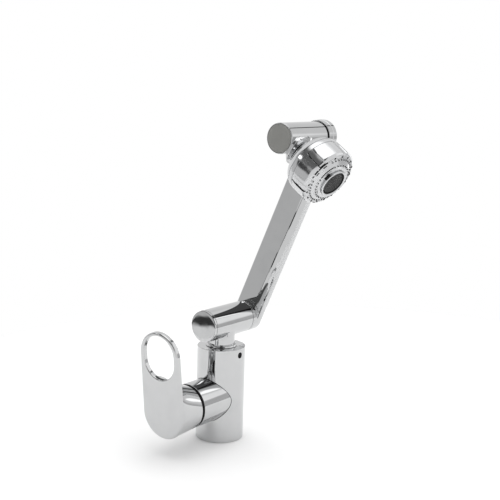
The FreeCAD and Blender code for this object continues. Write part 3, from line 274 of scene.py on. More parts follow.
def roundCorners(profile, looped, steps):
    points = []
    count = len(profile)
    for i, corner in enumerate(profile):
        soft = corner[2] if len(corner) > 2 else 0
        here = Vector(corner[:2])
        if not soft or (not looped and i in (0, count - 1)):
            points.append(tuple(here))
            continue
        before = (Vector(profile[i - 1][:2]) - here).normalized()
        after = (Vector(profile[(i + 1) % count][:2]) - here).normalized()
        half = before.angle(after) / 2
        centre = here + (before + after).normalized() * soft / sin(half)
        start = here + before * soft / tan(half) - centre
        end = here + after * soft / tan(half) - centre
        whole = start.angle(end)
        for k in range(steps + 1):
            part = whole * k / steps
            arm = (start * sin(whole - part) + end * sin(part)) / sin(whole)
            points.append(tuple(centre + arm))
    return points


def turnPiece(name, profile, place, looped=False, sides=128, steps=4):
    points = roundCorners(profile, looped, steps)
    putDown()
    fill = "NOTHING" if looped else "NGON"
    bpy.ops.mesh.primitive_circle_add(vertices=sides, radius=points[0][0] * mm, fill_type=fill)
    piece = bpy.context.object
    piece.name = name
    bpy.ops.object.mode_set(mode="EDIT")
    bpy.ops.transform.translate(value=(0, 0, points[0][1] * mm))
    for (radius, height), (nextRadius, nextHeight) in zip(points, points[1:]):
        move = {"value": (0, 0, (nextHeight - height) * mm)}
        bpy.ops.mesh.extrude_region_move(TRANSFORM_OT_translate=move)
        grow = nextRadius / radius
        bpy.ops.transform.resize(value=(grow, grow, 1), center_override=(0, 0, nextHeight * mm))
    if looped:
        bpy.ops.mesh.select_all(action="DESELECT")
        bpy.ops.mesh.select_non_manifold(extend=False)
        bpy.ops.mesh.bridge_edge_loops()
    bpy.ops.mesh.select_all(action="SELECT")
    bpy.ops.mesh.normals_make_consistent(inside=False)
    bpy.ops.object.mode_set(mode="OBJECT")
    setDown(piece, place)
    return piece


def turnRing(name, inner, outer, low, high, place, edges=(0, 0), sides=128):
    return turnPiece(name, [(inner, low), (outer, low, edges[0]), (outer, high, edges[1]),
                            (inner, high)], place, looped=True, sides=sides)


def turnRod(name, radius, low, high, place, sides=128):
    return turnPiece(name, [(radius, low), (radius, high)], place, sides=sides)


def addBlock(name, size, place):
    putDown()
    bpy.ops.mesh.primitive_cube_add(size=1)
    block = bpy.context.object
    block.name = name
    setDown(block, place @ Matrix.Diagonal([side * mm for side in size] + [1]))
    return block


def stretch(piece, run):                                 # the upper half moves up by run
    pickUp(piece)
    bpy.ops.object.mode_set(mode="EDIT")
    bpy.ops.mesh.select_all(action="DESELECT")
    mesh = bmesh.from_edit_mesh(piece.data)
    for vert in mesh.verts:
        vert.select = vert.co.x > hair
    mesh.select_flush(True)
    bmesh.update_edit_mesh(piece.data)
    bpy.ops.transform.translate(value=(run * mm, 0, 0))
    bpy.ops.object.mode_set(mode="OBJECT")


def combine(piece, tool, how):
    pickUp(piece)
    shape = piece.modifiers.new("shape", "BOOLEAN")
    shape.operation = how
    shape.object = tool
    shape.solver = "EXACT"
    bpy.ops.object.modifier_apply(modifier=shape.name)
    bpy.data.objects.remove(tool)


def copyTo(piece, places):                               # each copy has its own mesh
    made = []
    for place in places:
        twin = piece.copy()
        twin.data = piece.data.copy()
        bpy.context.collection.objects.link(twin)
        twin.data.transform(place)
        made.append(twin)
    bpy.data.objects.remove(piece)
    return made


def joinAll(pieces, name):
    putDown()
    for piece in pieces:
        piece.select_set(True)
    bpy.context.view_layer.objects.active = pieces[0]
    bpy.ops.object.join()
    pieces[0].name = name
    return pieces[0]


def finishPiece(piece, body, slot, replaced=(), look=None, angle=32):
    pickUp(piece)
    bpy.ops.object.shade_smooth_by_angle(angle=radians(angle))
    weigh = piece.modifiers.new("even", "WEIGHTED_NORMAL")
    weigh.keep_sharp = True
    bpy.ops.object.modifier_apply(modifier=weigh.name)
    piece.data.materials.clear()
    piece.data.materials.append(finishes[look or slot])
    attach(piece, body)
    if replaced:
        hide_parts(*replaced)
    return piece


# body: a turned column with the cartridge's boss on its side
body = {"radius": 24.0, "height": 94.8, "topEdge": 0.5, "footEdge": 1.0, "mouthEdge": 0.25,
        "grooveInner": 19.0, "grooveOuter": 22.0, "grooveDeep": 2.0,
        "mouth": 14.0, "mouthFloor": 91.8, "bore": 12.1, "boreFloor": 66.0}
boss = {"radius": 21.86, "start": 1.0, "reach": 49.0, "edge": 0.25,
        "neck": 21.2, "neckBore": 20.9, "neckReach": 50.6, "ledge": 48.6,
        "nutBore": 19.0, "nutFloor": 38.3, "cartridgeBore": 18.0, "cartridgeFloor": 12.2,
        # seal: a black band painted as the shade in the joint line of the boss and the column
        "joint": (22.2, 5.0, 26.0), "seal": (21.8, 22.17, 5.2, 26.0), "shadeBandSheath": (23.55, 10, 75)}
column = turnPiece("mixerBody", [
    (body["grooveInner"], 0), (body["grooveInner"], body["grooveDeep"]),
    (body["grooveOuter"], body["grooveDeep"]), (body["grooveOuter"], 0),
    (body["radius"], 0, body["footEdge"]), (body["radius"], body["height"], body["topEdge"]),
    (body["mouth"], body["height"], body["mouthEdge"]), (body["mouth"], body["mouthFloor"]),
    (body["bore"], body["mouthFloor"]), (body["bore"], body["boreFloor"])], deckFrame, sides=192)
combine(column, turnRod("joint", *boss["joint"], leverFrame, sides=192), "DIFFERENCE")
bossBarrel = turnPiece("boss", [
    (boss["radius"], boss["start"]), (boss["radius"], boss["reach"], boss["edge"]),
    (boss["neck"], boss["reach"], 0.1), (boss["neck"], boss["neckReach"]),
    (boss["neckBore"], boss["neckReach"]), (boss["neckBore"], boss["ledge"]),
    (boss["nutBore"], boss["ledge"]), (boss["nutBore"], boss["nutFloor"]),
    (boss["cartridgeBore"], boss["nutFloor"]), (boss["cartridgeBore"], boss["cartridgeFloor"])],
    leverFrame, sides=192)
combine(column, bossBarrel, "UNION")

screw = {"height": 88.4, "hole": 3.05, "holeStart": 12.5, "holeEnd": 26.0, "tip": 1.8,
         "tipEnd": 10.5, "shoulder": 13.4, "thread": 2.95, "threadStart": 14.5, "head": 22.2,
         "mouth": 2.0, "dish": (1.75, 21.9), "socket": 1.55, "socketFloor": 19.0, "sides": 48}
screwFrame = shift(0, 0, screw["height"]) @ Matrix.Rotation(radians(90), 4, "X")
combine(column, turnRod("screwHole", screw["hole"], screw["holeStart"], screw["holeEnd"],
                        screwFrame, sides=screw["sides"]), "DIFFERENCE")
deckHoles = (("studHole", (-13.0, 0), 4.0, 14.0), ("inletHole", (4.0, -9.5), 5.0, 20.0),
             ("inletHole", (4.0, 9.5), 5.0, 20.0))
for name, place, radius, depth in deckHoles:
    combine(column, turnRod(name, radius, -1, depth, shift(*place), sides=48), "DIFFERENCE")
finishPiece(column, "deck_body", "chrome", ["body_casting"])

neckRing = turnRing("neckBearingRing", inner=13.4, outer=15.25, low=94.82, high=95.1,
                    place=deckFrame)
finishPiece(neckRing, "deck_body", "black_plastic", ["neck_slip_washer"])
trim = {"inner": 13.38, "outer": 15.55, "low": 95.12, "shoulder": (15.1, 96.35, 0.25),
        "crest": 14.2, "top": 96.5}
trimRing = turnPiece("neckTrimRing", [
    (trim["inner"], trim["low"], 0.1), (trim["outer"], trim["low"], 0.12), trim["shoulder"],
    (trim["crest"], trim["top"], 0.2), (trim["inner"], trim["top"], 0.1)], deckFrame, looped=True)
finishPiece(trimRing, "neck", "chrome")

dust = {"inner": 19.3, "outer": 21.6, "foot": 48.7, "lip": 49.05, "top": 50.95,
        "slotInner": 20.75, "slotOuter": 21.25, "slotTop": 50.65}      # clips over the boss's neck
dustRing = turnPiece("leverDustRing", [
    (dust["inner"], dust["foot"]), (dust["slotInner"], dust["foot"]),
    (dust["slotInner"], dust["slotTop"]), (dust["slotOuter"], dust["slotTop"]),
    (dust["slotOuter"], dust["lip"]), (dust["outer"], dust["lip"], 0.1),
    (dust["outer"], dust["top"], 0.2), (dust["inner"], dust["top"], 0.2)], leverFrame, looped=True)
finishPiece(dustRing, "deck_body", "rubber", ["lever_dust_ring"])
# a black band painted as the shade in the boss's joint line with the column
jointShadeBand = turnRing("bossJointShadeBand", *boss["seal"], leverFrame, sides=192)
combine(jointShadeBand, turnRod("shadeBandCut", *boss["shadeBandSheath"], deckFrame, sides=192), "INTERSECT")
finishPiece(jointShadeBand, "deck_body", "rubber")

setScrew = turnPiece("setScrew", [
    (screw["tip"], screw["tipEnd"]), (screw["tip"], screw["shoulder"]),
    (screw["thread"], screw["threadStart"], 0.2), (screw["thread"], screw["head"], 0.35),
    (screw["mouth"], screw["head"], 0.15), screw["dish"]], screwFrame, sides=screw["sides"])
socket = turnRod("socket", screw["socket"], screw["socketFloor"], screw["head"] + 0.8,
                 screwFrame, sides=6)                    # for a hexagon key
combine(setScrew, socket, "DIFFERENCE")
finishPiece(setScrew, "deck_body", "steel", ["swivel_set_screw"], look="darkSteel")
print("body ready")

# neck and lower knuckle
neck = {"stem": 12.0, "stemFoot": 67.6, "stemTop": 96.2, "radius": 13.3, "waist": 104.6,
        "waistRound": 5.0, "flare": 14.5, "flareFoot": 109.5, "flareTop": 113.0}
knuckle = {"radius": 15.83, "bore": 15.0, "far": 30.8, "near": 25.6, "edge": 0.3, "capEdge": 0.2}
stem = turnPiece("neckAndKnuckle", [
    (neck["stem"], neck["stemFoot"]), (neck["stem"], neck["stemTop"]),
    (neck["radius"], neck["stemTop"], 0.3), (neck["radius"], neck["waist"], neck["waistRound"]),
    (neck["flare"], neck["flareFoot"]), (neck["flare"], neck["flareTop"])],
    deckFrame, sides=160, steps=8)
tube = turnPiece("knuckle", [
    (knuckle["bore"], -knuckle["far"]), (knuckle["radius"], -knuckle["far"], knuckle["edge"]),
    (knuckle["radius"], knuckle["near"], knuckle["capEdge"]), (knuckle["bore"], knuckle["near"])],
    knuckleFrame, sides=160)
combine(stem, tube, "UNION")
finishPiece(stem, "neck", "chrome", ["swivel_neck"])

cap = {"plug": 12.9, "plugEnd": 23.0, "seat": 25.9, "radius": 15.63, "rim": 28.05,
       "bevel": (15.1, 28.5, 0.15), "face": 14.6, "top": 28.62, "crown": 0.06, "rings": 10, "centre": 0.2}
dome = []
for k in range(cap["rings"]):                            # the cap's face is barely domed
    part = k / (cap["rings"] - 1)
    dome.append((cap["face"] + (cap["centre"] - cap["face"]) * part,
                 cap["top"] - cap["crown"] * (1 - part) ** 2))
lowerCap = turnPiece("lowerCap", [
    (cap["plug"], cap["plugEnd"]), (cap["plug"], cap["seat"]),
    (cap["radius"], cap["seat"], 0.12), (cap["radius"], cap["rim"], 0.15), cap["bevel"]]
    + dome, knuckleFrame, sides=160)
finishPiece(lowerCap, "neck", "chrome", ["lower_end_cap"])
print("neck ready")

# arm: a crowned bar between two round hubs, each with a collar towards its knuckle
arm = {"length": 204.7, "half": 15.69, "flat": 4.8, "crown": 30.0, "edge": 1.5,
       "face": 36.5, "thick": 10.6}
collar = {"lower": 15.7, "lowerBore": 15.0, "lowerEnd": 31.6, "lineStart": 33.3, "lineEnd": 33.9,
          "lineDeep": 0.25, "lineSlope": 0.15,
          "upper": 15.3, "upperBore": 14.6, "upperEnd": 32.95, "upperEdge": 0.35}


def crownedProfile(size):
    lean = asin((size["half"] - size["edge"] - size["flat"]) / (size["crown"] - size["edge"]))
    reach = size["crown"] - size["edge"]
    side = []
    for k in range(7):                                   # crown from the flat to the edge
        t = lean * k / 6
        side.append((size["flat"] + size["crown"] * sin(t), size["crown"] * (1 - cos(t))))
    for k in range(1, 7):                                # round edge
        t = lean + (pi / 2 - lean) * k / 6
        side.append((size["half"] - size["edge"] + size["edge"] * sin(t),
                     size["crown"] - reach * cos(lean) - size["edge"] * cos(t)))
    front = [(radius, -size["face"] - deep) for radius, deep in side]
    back = [(radius, deep - size["face"] - size["thick"]) for radius, deep in reversed(side)]
    return front + back


bar = turnPiece("armBar", crownedProfile(arm), deckFrame, sides=144)
stretch(bar, arm["length"])
setDown(bar, armFrame)
middle = -arm["face"] - arm["thick"] / 2
lineFloor = collar["lower"] - collar["lineDeep"]
lowerCollar = turnPiece("lowerCollar", [
    (collar["lowerBore"], -collar["lowerEnd"]), (collar["lower"], -collar["lowerEnd"], 0.3),
    (collar["lower"], -collar["lineStart"], 0.1),
    (lineFloor, -collar["lineStart"] - collar["lineSlope"]),
    (lineFloor, -collar["lineEnd"] + collar["lineSlope"]),
    (collar["lower"], -collar["lineEnd"], 0.1), (collar["lower"], middle)], armFrame, sides=144)
combine(bar, lowerCollar, "UNION")
upperCollar = turnPiece("upperCollar", [
    (collar["upperBore"], -collar["upperEnd"]),
    (collar["upper"], -collar["upperEnd"], collar["upperEdge"]), (collar["upper"], middle)],
    armFrame @ shift(arm["length"]), sides=144)
combine(bar, upperCollar, "UNION")
finishPiece(bar, "arm", "chrome", ["arm"])

slipRings = {                                            # node, place, radius, face, thickness
    "lowerSlipRing": ("lower_slip_ring", knuckleFrame, 15.1, 30.85, 0.7),
    "upperSlipRing": ("upper_slip_ring", kneeFrame, 13.5, 31.25, 1.65),
}
slipWidth = 3.5
for name, (node, place, radius, near, thick) in slipRings.items():
    slip = turnRing(name, radius - slipWidth, radius, -near, -near - thick, place, (0.15, 0.15))
    finishPiece(slip, nodes[node]["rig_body"], "black_plastic", [node], look="rubber")
print("arm ready")

# upper knuckle, its grey cap and the outlet
knee = {"radius": 14.06, "farBore": 13.2, "nearBore": 12.9, "far": 31.2, "near": 25.3,
        "edge": 0.3, "capEdge": 0.45,
        "outlet": 9.4, "outletStart": 2.0, "outletEnd": 17.0, "waterway": 5.0, "waterStart": 6.0}
elbow = turnPiece("upperKnuckle", [
    (knee["farBore"], -knee["far"]), (knee["radius"], -knee["far"], knee["edge"]),
    (knee["radius"], knee["near"], knee["capEdge"]), (knee["nearBore"], knee["near"])],
    kneeFrame, sides=144)
nipple = turnPiece("nipple", [
    (knee["outlet"], knee["outletStart"]), (knee["outlet"], knee["outletEnd"], 0.3),
    (knee["waterway"], knee["outletEnd"], 0.2), (knee["waterway"], knee["waterStart"])],
    outletFrame)
combine(elbow, nipple, "UNION")
finishPiece(elbow, "outlet_knuckle", "chrome", ["upper_knuckle"])
grey = {"plug": 11.0, "plugEnd": 22.5, "radius": 13.25, "seat": 25.45, "rim": 25.9,
        "crown": [(12.2, 26.6, 1.5), (8.0, 27.4, 6), (3.0, 27.66, 6), (0.3, 27.7)]}
greyCap = turnPiece("greyCap", [
    (grey["plug"], grey["plugEnd"]), (grey["plug"], grey["seat"]),
    (grey["radius"], grey["seat"], 0.12), (grey["radius"], grey["rim"], 0.4)] + grey["crown"],
    kneeFrame, sides=144)
finishPiece(greyCap, "outlet_knuckle", "grey_plastic", ["upper_end_cap"])
edgeRing = {"inner": 13.3, "outer": 13.95, "low": 25.34, "bend": 26.0, "crest": 13.6, "top": 26.3}
capRing = turnPiece("greyCapRing", [
    (edgeRing["inner"], edgeRing["low"]), (edgeRing["outer"], edgeRing["low"], 0.1),
    (edgeRing["outer"], edgeRing["bend"], 0.3), (edgeRing["crest"], edgeRing["top"], 0.15),
    (edgeRing["inner"], edgeRing["top"], 0.05)], kneeFrame, looped=True, sides=144)
finishPiece(capRing, "outlet_knuckle", "chrome")

nut = {"bore": 9.46, "rear": 14.4, "waist": 13.4, "waistEnd": 17.3, "radius": 15.4, "gripEnd": 18.7,
       "front": 20.8, "frontRadius": 11.6, "seat": 6.6, "seatRise": 19.6,
       "flatOff": 14.3, "flatRise": 16.0, "flat": (4, 34, 4.4),
       "grooves": 10, "grooveOff": 15.2, "grooveRise": 18.4, "groove": (1.5, 1.3, 5.2)}
outletNut = turnPiece("outletNut", [
    (nut["bore"], nut["rear"]), (nut["waist"], nut["rear"], 0.5), (nut["waist"], nut["waistEnd"]),
    (nut["radius"], nut["waistEnd"], 0.3), (nut["radius"], nut["gripEnd"], 0.4),
    (nut["frontRadius"], nut["front"], 0.4), (nut["seat"], nut["front"]),
    (nut["seat"], nut["seatRise"]), (nut["bore"], nut["seatRise"])], outletFrame, looped=True)
cuts = copyTo(addBlock("flat", nut["flat"], deckFrame), [
    outletFrame @ shift(side * nut["flatOff"], 0, nut["flatRise"]) for side in (-1, 1)])
cuts += copyTo(addBlock("groove", nut["groove"], deckFrame), [
    outletFrame @ spinBy(360 * (k + 0.5) / nut["grooves"])
    @ shift(nut["grooveOff"], 0, nut["grooveRise"]) for k in range(nut["grooves"])])
for cut in cuts:
    combine(outletNut, cut, "DIFFERENCE")
finishPiece(outletNut, "outlet_knuckle", "chrome", ["outlet_nut"])
print("upper knuckle ready")

# spray head: its heights run from the ball's centre out of the face, its angles round that axis
ball = {"mouth": 7.75, "rear": -5.37, "flange": 17.6, "flangeTop": 0.3, "thread": 13.2,
        "threadEnd": 4.5, "socket": 9.75, "socketRise": 0.6, "line": 17.2,
        "bowl": [(13.2, -4.5, 0.3), (15.0, -3.6, 0.6), (16.8, -2.2, 0.6)]}
ballRing = turnPiece("ballRing", [(ball["mouth"], ball["rear"])] + ball["bowl"] + [
    (ball["flange"], -1.3, 0.3), (ball["line"], -1.1, 0.08), (ball["line"], -0.75, 0.08),
    (ball["flange"], -0.55, 0.1), (ball["flange"], ball["flangeTop"], 0.1),
    (ball["thread"], ball["flangeTop"]), (ball["thread"], ball["threadEnd"]),
    (ball["socket"], ball["threadEnd"]), (ball["socket"], ball["socketRise"]),
    (ball["mouth"], ball["socketRise"])], headFrame, looped=True, sides=144)
finishPiece(ballRing, "spray_head", "chrome_plastic", ["ball_ring"])

head = {"lobes": 6, "firstLobe": 91.5, "lobeWidth": 46.0, "valleyDepth": 0.9,
        "valleyFrom": 12.0, "valleyFull": 22.0, "flank": (-1.6, 0.2),
        "sway": -3.0, "swayFrom": 12.0, "swayEnd": 21.0,
        "wide": 28.05, "shoulder": 15.0, "shoulderRun": 13.7, "shoulderDrop": 8.2,
        "shoulderSteps": 16, "bulge": 0.15, "bulgeSteps": 8,
        "brow": 29.0, "browFall": 0.2, "browSteps": 7, "browStep": 0.5,
        "rear": 0.6, "rearRadius": 19.2, "rimOuter": 25.3, "rimInner": 24.9, "rimTop": 32.35,
        "grooves": (9.0, 14.3), "grooveWide": 1.0, "grooveDeep": 0.5}
headBore = {"ring": 13.25, "ringEnd": 11.1, "water": 4.0, "floor": 12.5, "post": 15.2,
            "rear": 7.0, "rearRadius": 21.4}


def smoothStep(value, low, high):
    part = min(1, max(0, (value - low) / (high - low)))
    return part * part * (3 - 2 * part)


def bellyAt(height):                                     # round shoulder, straight side, brow
    below = head["shoulder"] - height
    if below > 0:
        drop = 1 - sqrt(1 - (below / head["shoulderRun"]) ** 2)
        return head["wide"] - head["shoulderDrop"] * drop
    if height < head["brow"]:
        return head["wide"] + head["bulge"] * sin(pi * below / (head["shoulder"] - head["brow"]))
    return head["wide"] - head["browFall"] * (height - head["brow"]) ** 2


def valleyAt(height):
    return smoothStep(height, head["valleyFrom"], head["valleyFull"]) * head["valleyDepth"]


def swayAt(height):                                      # the lobes' edges lean near the shoulder
    return radians(head["sway"]) * (1 - smoothStep(height, head["swayFrom"], head["swayEnd"]))


heights = [head["shoulder"] - head["shoulderRun"] * cos(pi / 2 * k / head["shoulderSteps"])
           for k in range(head["shoulderSteps"])]
heights += [head["shoulder"] + (head["brow"] - head["shoulder"]) * k / head["bulgeSteps"]
            for k in range(head["bulgeSteps"])]
heights += [head["brow"] + head["browStep"] * k for k in range(head["browSteps"])]
outline = []
for height in heights:                                   # two grooves run round the shoulder
    if all(abs(height - groove) > head["grooveWide"] / 2 for groove in head["grooves"]):
        outline.append((bellyAt(height), height))
for groove in head["grooves"]:
    for off, deep in ((-0.5, 0), (-0.3, 1), (0.3, 1), (0.5, 0)):
        height = groove + off * head["grooveWide"]
        outline.append((bellyAt(height) - deep * head["grooveDeep"], height))
outline.sort(key=lambda point: point[1])
drum = turnPiece("sprayDrum", [
    (headBore["ring"], head["rear"]), (head["rearRadius"], head["rear"], 0.35)] + outline + [
    (head["rimOuter"], head["rimTop"], 0.1), (head["rimInner"], head["rimTop"], 0.1),
    (head["rimInner"], head["shoulder"]), (headBore["rearRadius"], headBore["rear"]),
    (headBore["post"], headBore["rear"]), (headBore["post"], headBore["floor"]),
    (headBore["water"], headBore["floor"]), (headBore["water"], headBore["ringEnd"]),
    (headBore["ring"], headBore["ringEnd"])], deckFrame, looped=True, sides=360, steps=6)
for vert in drum.data.vertices:                          # the lobes stand proud of the valleys
    reach = sqrt(vert.co.x ** 2 + vert.co.y ** 2)
    angle = (degrees(atan2(vert.co.y, vert.co.x)) - head["firstLobe"]) % (360 / head["lobes"])
    offEdge = min(angle, head["lobeWidth"] - angle)
    valley = 1 - smoothStep(offEdge, *head["flank"])
    inWall = reach < (head["rimInner"] + 0.1) * mm and vert.co.z > (head["shoulder"] - 0.1) * mm
    if reach > (head["rimInner"] - 1) * mm and not inWall:
        share = 1 - valley * valleyAt(vert.co.z / mm) * mm / reach
        vert.co.x *= share
        vert.co.y *= share
    vert.co.xy = Matrix.Rotation(swayAt(vert.co.z / mm), 2) @ vert.co.xy
setDown(drum, headFrame)
finishPiece(drum, "spray_head", "chrome_plastic", ["spray_body"], angle=25)

# dark strips painted as the shade along the lobes' edges
lobeEdgeShade = {"foot": 14.5, "run": 17.2, "steps": 18, "lap": 0.1, "proud": 0.03, "sunkProud": 0.06,
             "startWide": 1.6, "endWide": 0.7}


def paintLobeEdgeShade(edge, side, wide):                          # dark strip painted as the shade in the groove down a lobe's edge
    putDown()
    bpy.ops.mesh.primitive_grid_add(x_subdivisions=2, y_subdivisions=lobeEdgeShade["steps"], size=1)
    line = bpy.context.object
    for vert in line.data.vertices:
        height = lobeEdgeShade["foot"] + (vert.co.y + 0.5) * lobeEdgeShade["run"]
        onLobe = vert.co.x * side > 0
        proud = lobeEdgeShade["proud"] if onLobe else lobeEdgeShade["sunkProud"] - valleyAt(height)
        angle = radians(edge + side * (lobeEdgeShade["lap"] if onLobe else -wide)) + swayAt(height)
        reach = bellyAt(height) + proud
        vert.co = (reach * cos(angle) * mm, reach * sin(angle) * mm, height * mm)
    setDown(line, headFrame)
    return line


lobeEdgeShades = []
for k in range(head["lobes"]):
    start = head["firstLobe"] + 360 / head["lobes"] * k
    lobeEdgeShades.append(paintLobeEdgeShade(start, 1, lobeEdgeShade["startWide"]))
    lobeEdgeShades.append(paintLobeEdgeShade(start + head["lobeWidth"], -1, lobeEdgeShade["endWide"]))
finishPiece(joinAll(lobeEdgeShades, "lobeEdgeShades"), "spray_head", "rubber")

rim = {"inner": 23.6, "outer": 24.85, "low": 30.25, "top": 32.35,
       "holes": 18, "firstHole": 94.0, "hole": 0.9, "holeReach": 24.8, "holeLow": 31.0,
       "holeTop": 32.6, "slots": ((136, 152), (158, 168)), "slot": (24.4, 25.9, 31.3, 32.55)}
rimRing = turnPiece("rimRing", [
    (rim["inner"], rim["low"]), (rim["outer"], rim["low"]), (rim["outer"], rim["top"] - 0.25, 0.1),
    (rim["outer"] - 0.25, rim["top"], 0.1), (rim["inner"], rim["top"])],
    headFrame, looped=True, sides=216)
finishPiece(rimRing, "spray_head", "chrome_plastic", ["rim_ring"])


def arcStrip(name, inner, outer, low, high, start, end):
    putDown()
    bpy.ops.mesh.primitive_plane_add(size=1)
    strip = bpy.context.object
    strip.name = name
    upright = Matrix.Rotation(radians(90), 4, "X")
    size = Matrix.Diagonal(((outer - inner) * mm, (high - low) * mm, 1, 1))
    strip.data.transform(spinBy(start) @ shift((inner + outer) / 2, 0, (low + high) / 2)
                         @ upright @ size)
    bpy.ops.object.mode_set(mode="EDIT")
    bpy.ops.mesh.select_all(action="SELECT")
    bpy.ops.mesh.spin(steps=12, angle=radians(start - end), center=(0, 0, 0), axis=(0, 0, 1))
    bpy.ops.mesh.select_all(action="SELECT")
    bpy.ops.mesh.normals_make_consistent(inside=False)
    bpy.ops.object.mode_set(mode="OBJECT")
    setDown(strip, headFrame)
    return strip


rimHoleShade = turnPiece("rimHoleShade", [
    (rim["hole"] * 0.8, rim["holeLow"]), (rim["hole"], rim["holeLow"]),
    (rim["hole"], rim["holeTop"], 0.1), (rim["hole"] * 0.55, rim["holeTop"])],
    deckFrame, sides=14, steps=2)                        # a dark plug painted as the shade inside each hole
openingShades = copyTo(rimHoleShade, [
    headFrame @ spinBy(rim["firstHole"] + 360 / rim["holes"] * k) @ shift(rim["holeReach"])
    for k in range(rim["holes"])])
for near, far in rim["slots"]:                           # dark strips painted as the shade in the open slots on the tab's side
    openingShades.append(arcStrip("rimSlotShade", *rim["slot"], near, far))
finishPiece(joinAll(openingShades, "rimOpeningShades"), "spray_head", "rubber")

face = {"bore": 11.36, "flange": 25.8, "low": 28.2, "flangeTop": 30.1, "outer": 23.5,
        "outerRise": 32.25, "hub": 16.9, "hubRise": 36.0, "step": 13.6, "top": 37.0}
sprayFace = turnPiece("sprayFace", [
    (face["bore"], face["low"]), (face["flange"], face["low"]), (face["flange"], face["flangeTop"]),
    (face["outer"], face["flangeTop"]), (face["outer"], face["outerRise"], 0.2),
    (face["hub"], face["hubRise"], 0.4), (face["hub"] - 0.5, face["top"], 0.4),
    (face["step"], face["top"], 0.2), (face["step"], face["hubRise"]),
    (face["bore"], face["hubRise"])], headFrame, looped=True, sides=216)
finishPiece(sprayFace, "spray_head", "chrome_plastic", ["spray_face"])


def coneRise(radius):                                    # height of the face's cone
    slope = (face["hubRise"] - face["outerRise"]) / (face["outer"] - face["hub"])
    return face["outerRise"] + (face["outer"] - radius) * slope


nozzle = {"bore": 0.62, "foot": -0.5, "radius": 1.05, "shoulder": (0.98, 0.3, 0.15), "top": 0.38,
          "shadeCore": (0.66, -0.4, 0.62),                    # dark plug painted as the shade inside each nozzle: radius, low, high
          "rows": ((22.3, 40, (124, 176)), (17.9, 32, (122, 168)))}    # radius, count, gap at tab
stepShadeLines = ((18.0, 122, 168), (22.4, 137, 147), (22.4, 160, 169))     # painted shadow and reflection at a step's foot: radius, start, end
lineSize = {"half": 0.4, "below": 0.5, "above": 0.3}
places = []
for radius, count, gap in nozzle["rows"]:
    for k in range(count):
        angle = 360 * (k + 0.5) / count
        if not gap[0] < angle < gap[1]:
            places.append(headFrame @ spinBy(angle) @ shift(radius, 0, coneRise(radius)))
lip = turnPiece("lip", [(nozzle["bore"], nozzle["foot"]), (nozzle["radius"], nozzle["foot"]),
                        nozzle["shoulder"], (nozzle["bore"], nozzle["top"], 0.1)],
                deckFrame, looped=True, sides=14, steps=2)
finishPiece(joinAll(copyTo(lip, places), "nozzleLips"), "spray_head", "chrome_plastic")
# dark plugs painted as the shade inside the nozzles
holes = copyTo(turnRod("hole", *nozzle["shadeCore"], deckFrame, sides=12), places)
for radius, start, end in stepShadeLines:                     # dark lines painted as the shadow and reflection at the face's steps near the tab
    rise = coneRise(radius)
    holes.append(arcStrip("stepShadeLine", radius - lineSize["half"], radius + lineSize["half"],
                          rise - lineSize["below"], rise + lineSize["above"], start, end))
finishPiece(joinAll(holes, "nozzleHoleShades"), "spray_head", "rubber")

aerator = {"thread": 11.3, "low": 28.0, "seat": 35.7, "radius": 13.4, "rim": 38.5, "shelf": 36.9,
           "shelfBore": 10.3, "floor": 33.0, "bore": 9.1, "insert": 10.2, "meshTop": 37.75,
           "meshLow": 37.35, "rings": 9, "pitch": 1.05, "firstRing": 9.9,
           "mouth": [(12.9, 38.8, 0.2), (12.1, 38.8, 0.2), (11.6, 38.3, 0.2)], "throat": 11.4}
aeratorRing = turnPiece("aeratorRing", [
    (aerator["thread"], aerator["low"]), (aerator["thread"], aerator["seat"]),
    (aerator["radius"], aerator["seat"]), (aerator["radius"], aerator["rim"], 0.4)]
    + aerator["mouth"] + [
    (aerator["throat"], aerator["shelf"]), (aerator["shelfBore"], aerator["shelf"]),
    (aerator["shelfBore"], aerator["floor"]), (aerator["bore"], aerator["floor"]),
    (aerator["bore"], aerator["low"])], headFrame, looped=True, sides=160)
finishPiece(aeratorRing, "spray_head", "chrome_plastic", ["aerator_housing"])
seal = {"inner": 10.25, "innerTop": 37.8, "low": 36.95, "lowOuter": 11.35, "outer": 11.4, "top": 38.0}
washer = turnPiece("aeratorWasher", [
    (seal["inner"], seal["low"]), (seal["lowOuter"], seal["low"]),
    (seal["outer"], seal["top"], 0.2), (seal["inner"], seal["innerTop"], 0.2)],
    headFrame, looped=True)
finishPiece(washer, "spray_head", "rubber")
steps = []
for k in range(aerator["rings"]):                        # fine rings of the insert
    radius = aerator["firstRing"] - aerator["pitch"] * k
    for off, rise in ((0, "meshTop"), (0.35, "meshTop"), (0.5, "meshLow"), (0.9, "meshLow")):
        steps.append((radius - off, aerator[rise], 0.1))
insert = turnPiece("aeratorInsert", [
    (9.0, aerator["floor"] + 0.1), (aerator["insert"], aerator["floor"] + 0.1),
    (aerator["insert"], aerator["meshLow"], 0.1)] + steps + [
    (0.5, aerator["meshTop"], 0.1), (0.35, aerator["meshTop"])], headFrame, sides=120, steps=2)
finishPiece(insert, "spray_head", "black_plastic", ["aerator_insert"], look="mesh_insert")

# selector tab beside the aerator
selector = {"size": (3.0, 6.2, 1.6), "edge": 0.35, "angle": 153, "reach": 15.4, "rise": 37.9}
tab = addBlock("selectorTab", selector["size"], deckFrame)
soft = tab.modifiers.new("soft", "BEVEL")
soft.width = selector["edge"] * mm
soft.segments = 3
bpy.ops.object.modifier_apply(modifier=soft.name)
setDown(tab, headFrame @ spinBy(selector["angle"]) @ shift(selector["reach"], 0, selector["rise"]))
finishPiece(tab, "spray_selector", "black_plastic", ["selector_tab"], look="rubber")
print("spray head ready")

